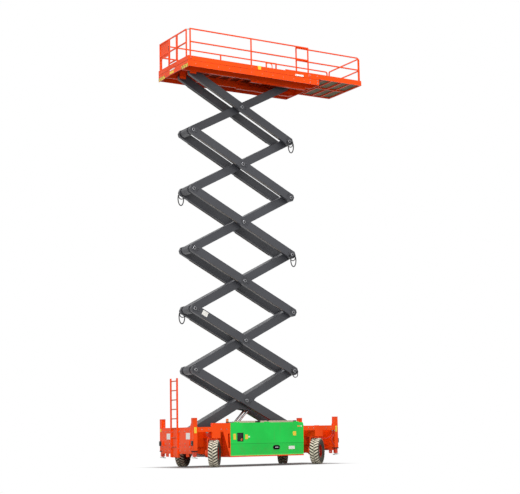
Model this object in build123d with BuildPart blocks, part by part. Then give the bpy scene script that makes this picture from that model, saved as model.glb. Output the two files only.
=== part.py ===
from build123d import *
import os
from math import atan2, cos, degrees, hypot, radians, sin

# Large rough-terrain scissor lift, millimetres.
# +X runs from the ladder end to the deck-extension end, +Y to the far side, +Z up.
# The origin lies on the floor under the middle of the whole machine's length.
os.makedirs("parts", exist_ok=True)

chassis_x = -734.5  # middle of the chassis

# ---- Scissor stack ----
section_count = 6
rest_span = 3786.0  # between the fixed and the sliding pins, along X
rest_rise = 1983.0  # height of one section
fixed_pin_x = chassis_x - 2240.0
base_pin_z = 1120.0
arm_length = hypot(rest_span, rest_rise)
arm_angle = atan2(rest_rise, rest_span)

stack_half_width = 425.0
outer_arm_thickness = 120.0
outer_arm_depth = 280.0
inner_arm_width = 420.0
inner_arm_depth = 270.0
arm_wall = 10.0
arm_overhang = 125.0
arm_chamfer = 75.0
pin_radius = 40.0
pin_clearance = 0.5
pin_hole_radius = 20.0
pin_hole_depth = 60.0
boss_radius = 78.0
pin_head_radius = 62.0
pin_head_thickness = 14.0
pin_head_gap = 2.0
lane_gap = 5.0  # running gap between neighbouring arm lanes
hose_radius = 15.0
hose_leg_x = 95.0  # half the width of a hose loop
hose_top_drop = 30.0
hose_leg_drop = 90.0
hose_clamp_half = 20.0
hose_lane_y = stack_half_width + 38.0

# ---- Rollers and their tracks ----
roller_radius = 70.0
roller_width = 64.0
roller_gap = 8.0
roller_seat = 0.3
track_wall = 12.0
roller_inner_y = stack_half_width + 13.0
track_web_y = roller_inner_y + roller_width + roller_gap

# ---- Chassis ----
chassis_length = 5490.0
chassis_half_width = 1207.0
chassis_top_z = 1264.0
longeron_thickness = 84.0
longeron_top_z = 1250.0
longeron_bottom_z = 640.0
end_plate_thickness = 50.0
end_plate_bottom_z = 440.0
side_beam_depth = 154.0
side_beam_width = 130.0
belly_z = 336.0
belly_thickness = 30.0

# ---- Wheels and steering ----
wheelbase = 3895.0
track_width = 2144.0
tyre_radius = 427.5
tyre_width = 310.0
tyre_shoulder = 26.0
tyre_shoulder_drop = 60.0
tyre_bulge = 90.0  # from the bead to the widest part of the sidewall
lug_depth = 22.0
lugs_a_side = 14
lug_bar = 46.0
lug_slant = 95.0
lug_inner_reach = 12.0
bead_radius = 214.0
bead_width = 216.0
rim_wall = 9.0
rim_disc_thickness = 14.0
hub_foot_radius = 95.0
hub_cap_radius = 80.0
hub_height = 60.0
hub_bore_end = 30.0
spindle_end_gap = 5.0
# Steering angle of each wheel as the machine stands, degrees.
crab_angles = {"ladder_near": 51.5, "drive_near": 39.5, "ladder_far": 43.0, "drive_far": 51.5}
kingpin_radius = 60.0
kingpin_end_gap = 4.0  # below the top of its sleeve
kingpin_sleeve_wall = 30.0
yoke_gap = 18.0
yoke_thickness = 34.0
yoke_width = 190.0
knuckle_leg_gap = 24.0
knuckle_leg_thickness = 46.0
hub_motor_radius = 110.0
hub_motor_length = 60.0  # behind the knuckle leg
yoke_tip = 95.0
spindle_radius = 42.0
bearing_clearance = 0.5
outrigger_width = 300.0
collar_gap = 5.0

# ---- Levelling jacks ----
jack_post_size = 140.0
jack_inset_y = 45.0  # from the chassis side to the post
jack_post_wall = 12.0
jack_post_top_z = 1543.0
jack_post_bottom_z = 500.0
jack_leg_size = 100.0
jack_collar_height = 45.0
jack_leg_clearance = 0.5
jack_lip = 8.0  # wiper band round the mouth of the post
jack_lip_height = 30.0
jack_pad_z = 300.0
jack_pad_radius = 95.0
jack_pad_thickness = 20.0
jack_pad_tilt = 8.0
jack_neck_radius = 32.0
jack_neck_height = 45.0
jack_leg_top_z = 1450.0

# ---- Side housings ----
housing_x0 = chassis_x - 1429.0
housing_x1 = chassis_x + 1334.0
housing_bottom_z = belly_z
housing_top_z = 1385.0
housing_wall = 25.0
housing_inner_y = 680.0
door_thickness = 40.0
door_gap = 6.0
door_crease_z = 720.0
door_tuck = 22.0
door_corner_radius = 60.0

# ---- Platform ----
deck_x0 = chassis_x - 2753.0
deck_x1 = chassis_x + 2404.0
deck_half_width = 1072.0
top_pin_z = base_pin_z + section_count * rest_rise
deck_floor_gap = 155.0  # from the top pins to the underside of the floor joists
joist_depth = 40.0
joist_width = 50.0
floor_thickness = 8.0
deck_side_thickness = 20.0
deck_side_bottom_z = top_pin_z - 32.0
toe_board_height = 120.0
toe_board_thickness = 10.0
rail_height = 1062.0  # top of the guard rail above the floor
rail_size = 38.0

# ---- Deck extension ----
extension_reach = 1856.0
extension_length = 3200.0
extension_half_width = 1015.0
extension_thickness = 55.0
extension_rib = 44.0
extension_lift = 6.0
skid_gap = 0.3

# Values worked out from the driving sizes.
floor_z = top_pin_z + deck_floor_gap + joist_depth + floor_thickness
rail_top_z = floor_z + rail_height
wheel_x = wheelbase / 2
wheel_y = track_width / 2
chassis_end_x = chassis_length / 2
jack_x = chassis_end_x - jack_post_size / 2
jack_y = chassis_half_width - jack_inset_y - jack_post_size / 2
sliding_pin_x = fixed_pin_x + rest_span
longeron_outer_y = track_web_y + track_wall + longeron_thickness
pin_half_length = stack_half_width + pin_head_gap + pin_head_thickness


def arm_plane(start_x, start_z, angle, y):
    """Plane along an arm: local x runs along it, local y is its upper side, local z is -Y."""
    return Plane(
        origin=(start_x, y, start_z), x_dir=(cos(angle), 0, sin(angle)), z_dir=(0, -1, 0)
    )


def section_pin_z(level):
    """Height of the fixed and sliding pins between section level and the next one."""
    return base_pin_z + level * rest_rise


# ---- Outer arms: two box arms a section, low at the sliding end ----
for section in range(1, section_count + 1):
    with BuildPart() as outer_arms:
        for side in (-1, 1):
            near_face = max(side * stack_half_width, side * (stack_half_width - outer_arm_thickness))
            face = arm_plane(fixed_pin_x, section_pin_z(section), -arm_angle, near_face)
            hollow = arm_plane(fixed_pin_x, section_pin_z(section), -arm_angle, near_face - arm_wall)
            pin_spots = [(0, 0), (arm_length / 2, 0), (arm_length, 0)]
            with BuildSketch(face):
                with Locations((arm_length / 2, 0)):
                    outline = Rectangle(arm_length + 2 * arm_overhang, outer_arm_depth)
                chamfer(outline.vertices(), arm_chamfer)
            extrude(amount=outer_arm_thickness)
            with BuildSketch(hollow):
                with Locations((arm_length / 2, 0)):
                    Rectangle(arm_length, outer_arm_depth - 2 * arm_wall)
                with Locations(*pin_spots):
                    Circle(boss_radius, mode=Mode.SUBTRACT)
            extrude(amount=outer_arm_thickness - 2 * arm_wall, mode=Mode.SUBTRACT)
            with BuildSketch(face):
                with Locations(*pin_spots):
                    Circle(pin_radius + pin_clearance)
            extrude(amount=outer_arm_thickness, mode=Mode.SUBTRACT)
        if section == 1:
            # The lowest pair carries the chassis rollers on stub axles.
            for side in (-1, 1):
                inner_y = side * (stack_half_width - outer_arm_thickness)
                axle = Plane(origin=(sliding_pin_x, inner_y, base_pin_z), z_dir=(0, side, 0))
                roller = Plane(
                    origin=(sliding_pin_x, side * roller_inner_y, base_pin_z), z_dir=(0, side, 0)
                )
                with BuildSketch(axle):
                    Circle(pin_radius + pin_clearance)
                extrude(amount=outer_arm_thickness + roller_inner_y - stack_half_width)
                with BuildSketch(roller):
                    Circle(roller_radius)
                extrude(amount=roller_width)
        # Hose loops hang beside the pins of every second section, at both ends of the arms.
        loops = []
        if section % 2 == 0:
            loops.append((sliding_pin_x, section_pin_z(section - 1), -1))
        if section % 2 == 0 and section < section_count:
            loops.append((fixed_pin_x, section_pin_z(section), 1))
        for pin_x, pin_z, side in loops:
            bend_z = pin_z - hose_top_drop - hose_leg_drop
            bend_centre = (pin_x, side * hose_lane_y, bend_z)
            with BuildSketch(Plane(origin=bend_centre, x_dir=(1, 0, 0), z_dir=(0, 0, 1))):
                with Locations((-hose_leg_x, 0), (hose_leg_x, 0)):
                    Circle(hose_radius)
            extrude(amount=hose_leg_drop)
            with BuildSketch(Plane(origin=bend_centre, x_dir=(1, 0, 0), z_dir=(0, 0, 1))):
                with Locations((-hose_leg_x, 0)):
                    Circle(hose_radius)
            revolve(axis=Axis(bend_centre, (0, -1, 0)), revolution_arc=180)
            clamp_face = Plane(origin=(pin_x, side * stack_half_width, pin_z - hose_top_drop),
                               x_dir=(1, 0, 0), z_dir=(0, side, 0))
            with BuildSketch(clamp_face):
                with Locations((-hose_leg_x, 0), (hose_leg_x, 0)):
                    Rectangle(2 * hose_clamp_half, 2 * hose_clamp_half)
            extrude(amount=hose_lane_y + hose_radius - stack_half_width)
    outer_arms.part.label = f"outer_arms_{section}"
    export_step(outer_arms.part, f"parts/outer_arms_{section}.step")

# ---- Inner arms: one wide box beam a section, low at the fixed end, with the pins ----
chassis_bracket_gap = 15.0
chassis_bracket_y0 = inner_arm_width / 2 + lane_gap + chassis_bracket_gap
chassis_bracket_thickness = 50.0
gusset_thickness = 24.0
gusset_half_length = 420.0
gusset_tip = 75.0  # below the lift pin
gusset_tip_half = 85.0
gusset_tip_rise = 22.0
gusset_hollow = (165.0, 110.0)  # a point on the hollow edge, along and up from the lift pin
gusset_y = (60.0, 190.0)  # inner faces of the two plates at each side of the middle
lift_pin_along = 2270.0
lift_pin_below = 343.0

for section in range(1, section_count + 1):
    low_pin = pin_half_length
    high_pin = pin_half_length
    if section == 1:
        low_pin = chassis_bracket_y0 + chassis_bracket_thickness + pin_head_gap + pin_head_thickness
    if section == section_count:
        high_pin = roller_inner_y
    # Columns: place along the arm, half length of the pin. The last top pin carries rollers.
    pins = [(0.0, low_pin), (arm_length / 2, pin_half_length), (arm_length, high_pin)]
    start_z = section_pin_z(section - 1)
    with BuildPart() as inner_arm:
        face = arm_plane(fixed_pin_x, start_z, arm_angle, inner_arm_width / 2)
        hollow = arm_plane(fixed_pin_x, start_z, arm_angle, inner_arm_width / 2 - arm_wall)
        with BuildSketch(face):
            with Locations((arm_length / 2, 0)):
                outline = Rectangle(arm_length + 2 * arm_overhang, inner_arm_depth)
            chamfer(outline.vertices(), arm_chamfer)
        extrude(amount=inner_arm_width)
        with BuildSketch(hollow):
            with Locations((arm_length / 2, 0)):
                Rectangle(arm_length, inner_arm_depth - 2 * arm_wall)
            with Locations((0, 0), (arm_length / 2, 0), (arm_length, 0)):
                Circle(boss_radius, mode=Mode.SUBTRACT)
        extrude(amount=inner_arm_width - 2 * arm_wall, mode=Mode.SUBTRACT)
        for along, half_length in pins:
            boss_half = stack_half_width - outer_arm_thickness - lane_gap
            if half_length < stack_half_width:
                boss_half = inner_arm_width / 2 + lane_gap
            with BuildSketch(arm_plane(fixed_pin_x, start_z, arm_angle, boss_half)):
                with Locations((along, 0)):
                    Circle(boss_radius)
            extrude(amount=2 * boss_half)
            with BuildSketch(arm_plane(fixed_pin_x, start_z, arm_angle, half_length)):
                with Locations((along, 0)):
                    Circle(pin_radius)
            extrude(amount=2 * half_length)
            if half_length != roller_inner_y:
                for head_face in (half_length, pin_head_thickness - half_length):
                    with BuildSketch(arm_plane(fixed_pin_x, start_z, arm_angle, head_face)):
                        with Locations((along, 0)):
                            Circle(pin_head_radius)
                    extrude(amount=pin_head_thickness)
                for bore_face in (half_length, pin_hole_depth - half_length):
                    with BuildSketch(arm_plane(fixed_pin_x, start_z, arm_angle, bore_face)):
                        with Locations((along, 0)):
                            Circle(pin_hole_radius)
                    extrude(amount=pin_hole_depth, mode=Mode.SUBTRACT)
        if section == section_count:
            for roller_face in (roller_inner_y + roller_width, -roller_inner_y):
                with BuildSketch(arm_plane(fixed_pin_x, start_z, arm_angle, roller_face)):
                    with Locations((arm_length, 0)):
                        Circle(roller_radius)
                extrude(amount=roller_width)
        if section == 1:
            # Curved gusset plates under the middle take the heads of the lift cylinders.
            for plate_y in (-gusset_y[1] - gusset_thickness, -gusset_y[0], gusset_y[0] - gusset_thickness,
                            gusset_y[1]):
                with BuildSketch(arm_plane(fixed_pin_x, start_z, arm_angle, plate_y + gusset_thickness)):
                    with BuildLine():
                        top = -inner_arm_depth / 2 + arm_wall
                        tip = -lift_pin_below - gusset_tip
                        left = (lift_pin_along - gusset_half_length, top)
                        right = (lift_pin_along + gusset_half_length, top)
                        toe = (lift_pin_along - gusset_tip_half, tip + gusset_tip_rise)
                        heel = (lift_pin_along + gusset_tip_half, tip + gusset_tip_rise)
                        Polyline(right, left, toe, (lift_pin_along, tip), heel)
                        hollow_point = (lift_pin_along + gusset_hollow[0], gusset_hollow[1] - lift_pin_below)
                        ThreePointArc(heel, hollow_point, right)
                    make_face()
                    with Locations((lift_pin_along, -lift_pin_below)):
                        Circle(pin_radius, mode=Mode.SUBTRACT)
                extrude(amount=gusset_thickness)
    inner_arm.part.label = f"inner_arm_{section}"
    export_step(inner_arm.part, f"parts/inner_arm_{section}.step")

# ---- Lift cylinders: a pair from the chassis floor to the gussets of the lowest inner arm ----
lift_base_x = chassis_x - 1470.0
lift_base_z = 450.0
lift_y = 125.0
lift_barrel_radius = 58.0
lift_rod_radius = 36.0
lift_barrel_length = 1330.0
lift_bore_clearance = 1.0
lift_eye_radius = 62.0
lift_eye_width = 110.0
lift_gland_radius = 66.0
lift_gland_length = 60.0
lift_cut_margin = 5.0
gusset_pin_x = fixed_pin_x + lift_pin_along * cos(arm_angle) + lift_pin_below * sin(arm_angle)
gusset_pin_z = base_pin_z + lift_pin_along * sin(arm_angle) - lift_pin_below * cos(arm_angle)
lift_length = hypot(gusset_pin_x - lift_base_x, gusset_pin_z - lift_base_z)
lift_angle = atan2(gusset_pin_z - lift_base_z, gusset_pin_x - lift_base_x)
lift_dir = (cos(lift_angle), 0, sin(lift_angle))
rod_inside = 800.0

with BuildPart() as lift_barrels:
    for y in (-lift_y, lift_y):
        tube = Plane(origin=(lift_base_x, y, lift_base_z), z_dir=lift_dir)
        eye = Plane(origin=(lift_base_x, y + lift_eye_width / 2, lift_base_z), z_dir=(0, -1, 0))
        with BuildSketch(tube):
            Circle(lift_barrel_radius)
        extrude(amount=lift_barrel_length)
        with BuildSketch(tube.offset(lift_barrel_length - lift_gland_length)):
            Circle(lift_gland_radius)
        extrude(amount=lift_gland_length)
        with BuildSketch(eye):
            Circle(lift_eye_radius)
        extrude(amount=lift_eye_width)
        with BuildSketch(eye.offset(-lift_cut_margin)):
            Circle(pin_radius + pin_clearance)
        extrude(amount=lift_eye_width + 2 * lift_cut_margin, mode=Mode.SUBTRACT)
        with BuildSketch(tube.offset(lift_barrel_length)):
            Circle(lift_rod_radius + lift_bore_clearance)
        extrude(amount=-(lift_barrel_length - 2 * lift_eye_radius), mode=Mode.SUBTRACT)
lift_barrels.part.label = "lift_barrels"
export_step(lift_barrels.part, "parts/lift_barrels.step")

with BuildPart() as lift_rods:
    for y in (-lift_y, lift_y):
        rod_start = lift_barrel_length - rod_inside
        rod = Plane(origin=(lift_base_x, y, lift_base_z), z_dir=lift_dir).offset(rod_start)
        eye = Plane(origin=(gusset_pin_x, y + lift_eye_width / 2, gusset_pin_z), z_dir=(0, -1, 0))
        with BuildSketch(rod):
            Circle(lift_rod_radius)
        extrude(amount=lift_length - rod_start)
        with BuildSketch(eye):
            Circle(lift_eye_radius)
        extrude(amount=lift_eye_width)
lift_rods.part.label = "lift_rods"
export_step(lift_rods.part, "parts/lift_rods.step")

# ---- Chassis frame: longerons with roller tracks, end plates, side beams and outriggers ----
longeron_inner_y = track_web_y + track_wall
beam_bottom_z = chassis_top_z - side_beam_depth
outrigger_bottom_z = 2 * tyre_radius + yoke_gap + yoke_thickness + collar_gap
track_x0 = chassis_x - 30.0
track_x1 = chassis_x + 2190.0

jack_inner_x = jack_x - jack_post_size / 2
lug_y = 700.0
lug_z = 395.0
lug_thickness = 30.0
lug_radius = 55.0
lug_bore_radius = 30.0
lug_x = chassis_end_x - end_plate_thickness / 2
belly_end_rise = 60.0
belly_end_z = end_plate_bottom_z + belly_end_rise
low_x0 = chassis_x - chassis_end_x + end_plate_thickness
low_x1 = chassis_x + chassis_end_x - end_plate_thickness
anchor_beam_height = 230.0
anchor_top = 110.0  # from the fixed pin to the top of its bracket
anchor_width = 260.0
sill_width = 647.0
belly_inset = 20.0
side_plate_inset = 30.0
side_plate_half = 10.0
foot_eye_wall = 40.0
# Box on the near side beam, beside the housing.
valve_box_length = 640.0
valve_box_top_z = 1385.0
# Slanted plates between the wheels and the housings at the ladder end, seen along Y.
arch_plate_thickness = 20.0
arch_plate_top_run = 262.0
arch_plate_foot_run = 18.0
arch_slot_width = 60.0
# Raised panels, steps and rubber bumpers on the end plates.
end_panel_thickness = 10.0
end_panels = ((-985.0, -240.0, 720.0, 1180.0), (420.0, 985.0, 720.0, 1180.0),
              (-985.0, -240.0, 500.0, 690.0), (420.0, 985.0, 500.0, 690.0))  # y0, y1, z0, z1
bumper_size = 150.0
bumper_depth = 45.0
bumper_y = 930.0
bumper_z = 765.0
foot_block_y = (-150.0, 330.0)
foot_block_height = 120.0

with BuildPart() as chassis_frame:
    for side in (-1, 1):
        # Longeron along the scissor well.
        with BuildSketch(Plane.XY.offset(longeron_bottom_z)):
            with Locations((chassis_x, side * (longeron_inner_y + longeron_thickness / 2))):
                Rectangle(chassis_length - 2 * end_plate_thickness, longeron_thickness)
        extrude(amount=longeron_top_z - longeron_bottom_z)
        # Channel that the roller of the lowest outer arm runs in.
        track_y0 = min(side * roller_inner_y, side * longeron_inner_y)
        with BuildSketch(Plane.YZ.offset(track_x0)):
            track_reach = longeron_inner_y - roller_inner_y
            track_mid_y = side * (roller_inner_y + track_reach / 2)
            lower_top = base_pin_z - roller_radius - roller_seat
            upper_bottom = base_pin_z + roller_radius + roller_gap
            with Locations((track_mid_y, lower_top - track_wall / 2)):
                Rectangle(track_reach, track_wall)
            with Locations((track_mid_y, upper_bottom + track_wall / 2)):
                Rectangle(track_reach, track_wall)
            with Locations((side * (track_web_y + track_wall / 2), base_pin_z)):
                Rectangle(track_wall, 2 * roller_radius + 2 * roller_gap + track_wall)
        extrude(amount=track_x1 - track_x0)
        # Bracket for the fixed pin of the lowest inner arm.
        bracket_y = max(side * chassis_bracket_y0, side * (chassis_bracket_y0 + chassis_bracket_thickness))
        bracket = Plane(origin=(fixed_pin_x, bracket_y, base_pin_z), z_dir=(0, -1, 0), x_dir=(1, 0, 0))
        with BuildSketch(bracket):
            with Locations((0, (longeron_bottom_z - base_pin_z + anchor_top) / 2)):
                Rectangle(anchor_width, anchor_top + base_pin_z - longeron_bottom_z)
            Circle(pin_radius + pin_clearance, mode=Mode.SUBTRACT)
        extrude(amount=chassis_bracket_thickness)
        # Side beams over the wheels, from the jack posts to the side housing.
        for beam_x0, beam_x1 in ((chassis_x - jack_inner_x, housing_x0 - door_gap),
                                 (housing_x1 + door_gap, chassis_x + jack_inner_x)):
            with BuildSketch(Plane.XY.offset(beam_bottom_z)):
                with Locations(((beam_x0 + beam_x1) / 2, side * (chassis_half_width - side_beam_width / 2))):
                    Rectangle(beam_x1 - beam_x0, side_beam_width)
            extrude(amount=side_beam_depth)
        # Sill under the side housing.
        with BuildSketch(Plane.XY.offset(belly_z - belly_thickness)):
            with Locations(((housing_x0 + housing_x1) / 2, side * (chassis_half_width - sill_width / 2))):
                Rectangle(housing_x1 - housing_x0, sill_width)
        extrude(amount=belly_thickness)
        # Slanted plate behind the wheel at the ladder end, with its diagonal slot.
        arch_face = Plane.XZ.offset(-side * (chassis_half_width - arch_plate_thickness / 2))
        with BuildSketch(arch_face):
            with BuildLine():
                arch_x = housing_x0 - door_gap
                sill_end = belly_z - belly_thickness
                Polyline((arch_x - arch_plate_top_run, beam_bottom_z), (arch_x, beam_bottom_z), (arch_x, belly_z),
                         (housing_x0 + door_gap, belly_z), (housing_x0 + door_gap, sill_end),
                         (arch_x - arch_plate_foot_run, sill_end), close=True)
            make_face()
            with BuildLine():
                slot_top = (arch_x - arch_plate_top_run / 3, beam_bottom_z - arch_slot_width)
                slot_foot = (arch_x - arch_plate_foot_run - arch_slot_width, (beam_bottom_z + 2 * belly_z) / 3)
                Polyline(slot_top, (slot_top[0] + arch_slot_width, slot_top[1]),
                         (slot_foot[0] + arch_slot_width, slot_foot[1]), slot_foot, close=True)
            make_face(mode=Mode.SUBTRACT)
        extrude(amount=arch_plate_thickness / 2, both=True)
        for end in (-1, 1):
            # Outrigger with the kingpin sleeve.
            with BuildSketch(Plane.XY.offset(outrigger_bottom_z)):
                with Locations((chassis_x + end * wheel_x, side * (longeron_outer_y + chassis_half_width) / 2)):
                    Rectangle(outrigger_width, chassis_half_width - longeron_outer_y)
            extrude(amount=beam_bottom_z - outrigger_bottom_z)
            with BuildSketch(Plane.XY.offset(beam_bottom_z)):
                with Locations((chassis_x + end * wheel_x, side * wheel_y)):
                    Circle(kingpin_radius + kingpin_sleeve_wall)
            extrude(amount=side_beam_depth)
    for end in (-1, 1):
        # End plate.
        with BuildSketch(Plane.YZ.offset(chassis_x + end * (chassis_end_x - end_plate_thickness / 2))):
            with Locations((0, (chassis_top_z + end_plate_bottom_z) / 2)):
                Rectangle(2 * (jack_y - jack_post_size / 2), chassis_top_z - end_plate_bottom_z)
        extrude(amount=end_plate_thickness / 2, both=True)
        for side in (-1, 1):
            # Rubber bumper blocks.
            bumper_face = Plane(origin=(chassis_x + end * chassis_end_x, 0, 0), z_dir=(end, 0, 0), x_dir=(0, end, 0))
            with BuildSketch(bumper_face):
                with Locations((end * side * bumper_y, bumper_z)):
                    Rectangle(bumper_size / 2, bumper_size)
            extrude(amount=bumper_depth)
        # Tie-down lugs under the end plate.
        for side in (-1, 1):
            with BuildSketch(Plane(origin=(chassis_x + end * lug_x, side * lug_y, lug_z), z_dir=(end, 0, 0))):
                Circle(lug_radius)
                with Locations((0, (belly_end_z - lug_z) / 2)):
                    Rectangle(2 * lug_radius, belly_end_z - lug_z)
                Circle(lug_bore_radius, mode=Mode.SUBTRACT)
            extrude(amount=lug_thickness / 2, both=True)
    # Cross beam under the fixed pins.
    with BuildSketch(Plane.XY.offset(longeron_bottom_z)):
        with Locations((fixed_pin_x, 0)):
            Rectangle(anchor_width, 2 * longeron_inner_y)
    extrude(amount=anchor_beam_height)
    # Box on the near side beam.
    with BuildSketch(Plane.XY.offset(chassis_top_z)):
        with Locations((housing_x0 - door_gap - valve_box_length / 2, side_beam_width / 2 - chassis_half_width)):
            Rectangle(valve_box_length, side_beam_width)
    extrude(amount=valve_box_top_z - chassis_top_z)
    # Raised panels and the foot block on the end plate behind the ladder.
    for panel_y0, panel_y1, panel_z0, panel_z1 in end_panels:
        with BuildSketch(Plane.YZ.offset(chassis_x - chassis_end_x - end_panel_thickness)):
            with Locations(((panel_y0 + panel_y1) / 2, (panel_z0 + panel_z1) / 2)):
                Rectangle(panel_y1 - panel_y0, panel_z1 - panel_z0)
        extrude(amount=end_panel_thickness)
    with BuildSketch(Plane.XY.offset(end_plate_bottom_z - foot_block_height)):
        with Locations((chassis_x - chassis_end_x + end_plate_thickness / 2, sum(foot_block_y) / 2)):
            Rectangle(end_plate_thickness, foot_block_y[1] - foot_block_y[0])
    extrude(amount=foot_block_height)
    # Belly plates between the longerons and the cross members that carry the housings.
    with BuildSketch(Plane.XZ):
        with BuildLine():
            Polyline((low_x0, longeron_bottom_z), (low_x0, belly_end_z),
                     (housing_x0, belly_z - belly_thickness), (housing_x1, belly_z - belly_thickness),
                     (low_x1, belly_end_z), (low_x1, longeron_bottom_z),
                     (low_x1 - belly_thickness, longeron_bottom_z),
                     (low_x1 - belly_thickness, belly_end_z + belly_thickness),
                     (housing_x1, belly_z), (housing_x0, belly_z),
                     (low_x0 + belly_thickness, belly_end_z + belly_thickness),
                     (low_x0 + belly_thickness, longeron_bottom_z), close=True)
        make_face()
    extrude(amount=longeron_outer_y - belly_inset, both=True)
    for side in (-1, 1):
        # Side plates of the lower box, from the longerons down to the belly.
        side_plate_y = side * (longeron_outer_y - side_plate_inset)
        with BuildSketch(Plane.XZ.offset(-side_plate_y)):
            with BuildLine():
                Polyline((low_x0, longeron_bottom_z), (low_x0, belly_end_z),
                         (housing_x0, belly_z - belly_thickness), (housing_x1, belly_z - belly_thickness),
                         (low_x1, belly_end_z), (low_x1, longeron_bottom_z), close=True)
            make_face()
        extrude(amount=side_plate_half, both=True)
    # Clevis plates at the foot of the lift cylinders, with their pin.
    for y in (-gusset_y[1] - gusset_thickness, -gusset_y[0], gusset_y[0] - gusset_thickness, gusset_y[1]):
        foot = Plane(origin=(lift_base_x, y + gusset_thickness, lift_base_z), z_dir=(0, -1, 0), x_dir=(1, 0, 0))
        with BuildSketch(foot):
            Circle(pin_radius + foot_eye_wall)
            with Locations((0, (belly_z - lift_base_z) / 2)):
                Rectangle(2 * (pin_radius + foot_eye_wall), lift_base_z - belly_z)
        extrude(amount=gusset_thickness)
    with BuildSketch(Plane(origin=(lift_base_x, gusset_y[1] + gusset_thickness, lift_base_z), z_dir=(0, -1, 0))):
        Circle(pin_radius)
    extrude(amount=2 * (gusset_y[1] + gusset_thickness))
    # Kingpin bores, cut last through outriggers, sleeves and side beams.
    with BuildSketch(Plane.XY.offset(outrigger_bottom_z)):
        with Locations(*[(chassis_x + i * wheel_x, j * wheel_y) for i in (-1, 1) for j in (-1, 1)]):
            Circle(kingpin_radius + bearing_clearance)
    extrude(amount=chassis_top_z - outrigger_bottom_z, mode=Mode.SUBTRACT)
chassis_frame.part.label = "chassis_frame"
export_step(chassis_frame.part, "parts/chassis_frame.step")

# ---- Jack posts at the four corners ----
post_places = [(chassis_x + end * jack_x, side * jack_y) for end in (-1, 1) for side in (-1, 1)]
band_places = [(chassis_x + end * jack_x, side * (jack_y + jack_lip / 2)) for end in (-1, 1) for side in (-1, 1)]
with BuildPart() as jack_posts:
    with BuildSketch(Plane.XY.offset(jack_post_bottom_z)):
        with Locations(*post_places):
            Rectangle(jack_post_size, jack_post_size)
    extrude(amount=jack_post_top_z - jack_post_bottom_z)
    with BuildSketch(Plane.XY.offset(jack_post_bottom_z)):
        with Locations(*post_places):
            Rectangle(jack_post_size - 2 * jack_post_wall, jack_post_size - 2 * jack_post_wall)
    extrude(amount=jack_post_top_z - jack_post_bottom_z - jack_post_wall, mode=Mode.SUBTRACT)
    # Guide collar in the mouth of each post.
    with BuildSketch(Plane.XY.offset(jack_post_bottom_z)):
        with Locations(*post_places):
            Rectangle(jack_post_size, jack_post_size)
            Rectangle(jack_leg_size + 2 * jack_leg_clearance, jack_leg_size + 2 * jack_leg_clearance,
                      mode=Mode.SUBTRACT)
    extrude(amount=jack_collar_height)
    # Wiper band round the three free sides of the mouth.
    with BuildSketch(Plane.XY.offset(jack_post_bottom_z)):
        with Locations(*band_places):
            Rectangle(jack_post_size + 2 * jack_lip, jack_post_size + jack_lip)
        with Locations(*post_places):
            Rectangle(jack_post_size, jack_post_size, mode=Mode.SUBTRACT)
    extrude(amount=jack_lip_height)
jack_posts.part.label = "jack_posts"
export_step(jack_posts.part, "parts/jack_posts.step")

corner_names = {(-1, -1): "ladder_near", (1, -1): "drive_near", (-1, 1): "ladder_far", (1, 1): "drive_far"}
for (end, side), corner in corner_names.items():
    with BuildPart() as jack_leg:
        leg_x = chassis_x + end * jack_x
        leg_y = side * jack_y
        with BuildSketch(Plane.XY.offset(jack_pad_z + jack_neck_height)):
            with Locations((leg_x, leg_y)):
                Rectangle(jack_leg_size, jack_leg_size)
        extrude(amount=jack_leg_top_z - jack_pad_z - jack_neck_height)
        with BuildSketch(Plane.XY.offset(jack_pad_z + jack_pad_thickness / 2)):
            with Locations((leg_x, leg_y)):
                Circle(jack_neck_radius)
        extrude(amount=jack_neck_height - jack_pad_thickness / 2)
        # The pad hangs a little askew on its ball.
        tilt = radians(jack_pad_tilt)
        with BuildSketch(Plane(origin=(leg_x, leg_y, jack_pad_z), z_dir=(-end * sin(tilt), 0, cos(tilt)))):
            Circle(jack_pad_radius)
        extrude(amount=jack_pad_thickness)
    jack_leg.part.label = f"jack_leg_{corner}"
    export_step(jack_leg.part, f"parts/jack_leg_{corner}.step")

# ---- Wheels, rims and steering knuckles ----
half = tyre_width / 2
tread_radius = tyre_radius - lug_depth
with BuildPart() as carcass:
    with BuildSketch(Plane.YZ):
        with BuildLine():
            Polyline((-bead_width / 2, bead_radius), (-half, bead_radius + tyre_bulge),
                     (-half, tyre_radius - tyre_shoulder_drop), (lug_depth - half, tread_radius),
                     (half - lug_depth, tread_radius), (half, tyre_radius - tyre_shoulder_drop),
                     (half, bead_radius + tyre_bulge), (bead_width / 2, bead_radius), close=True)
        make_face()
    revolve(axis=Axis.Y)
with BuildPart() as lug_band:
    with BuildSketch(Plane.YZ):
        with BuildLine():
            Polyline((-half, tyre_radius - tyre_shoulder_drop), (tyre_shoulder - half, tyre_radius),
                     (half - tyre_shoulder, tyre_radius), (half, tyre_radius - tyre_shoulder_drop),
                     (half - lug_depth, tread_radius - lug_depth), (lug_depth - half, tread_radius - lug_depth),
                     close=True)
        make_face()
    revolve(axis=Axis.Y)
with BuildPart() as lug_bars:
    for lug in range(2 * lugs_a_side):
        angle = 180 / lugs_a_side * lug
        hand = 1 if lug % 2 else -1
        with BuildSketch(Plane.XY.rotated((0, angle, 0))):
            with BuildLine():
                Polyline((-lug_bar / 2, -hand * lug_inner_reach), (lug_bar / 2, -hand * lug_inner_reach),
                         (lug_bar / 2 + lug_slant, hand * (half + lug_inner_reach)),
                         (lug_slant - lug_bar / 2, hand * (half + lug_inner_reach)), close=True)
            make_face()
        extrude(amount=tyre_radius + lug_depth)
tyre_shape = carcass.part + (lug_band.part & lug_bars.part)

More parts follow.
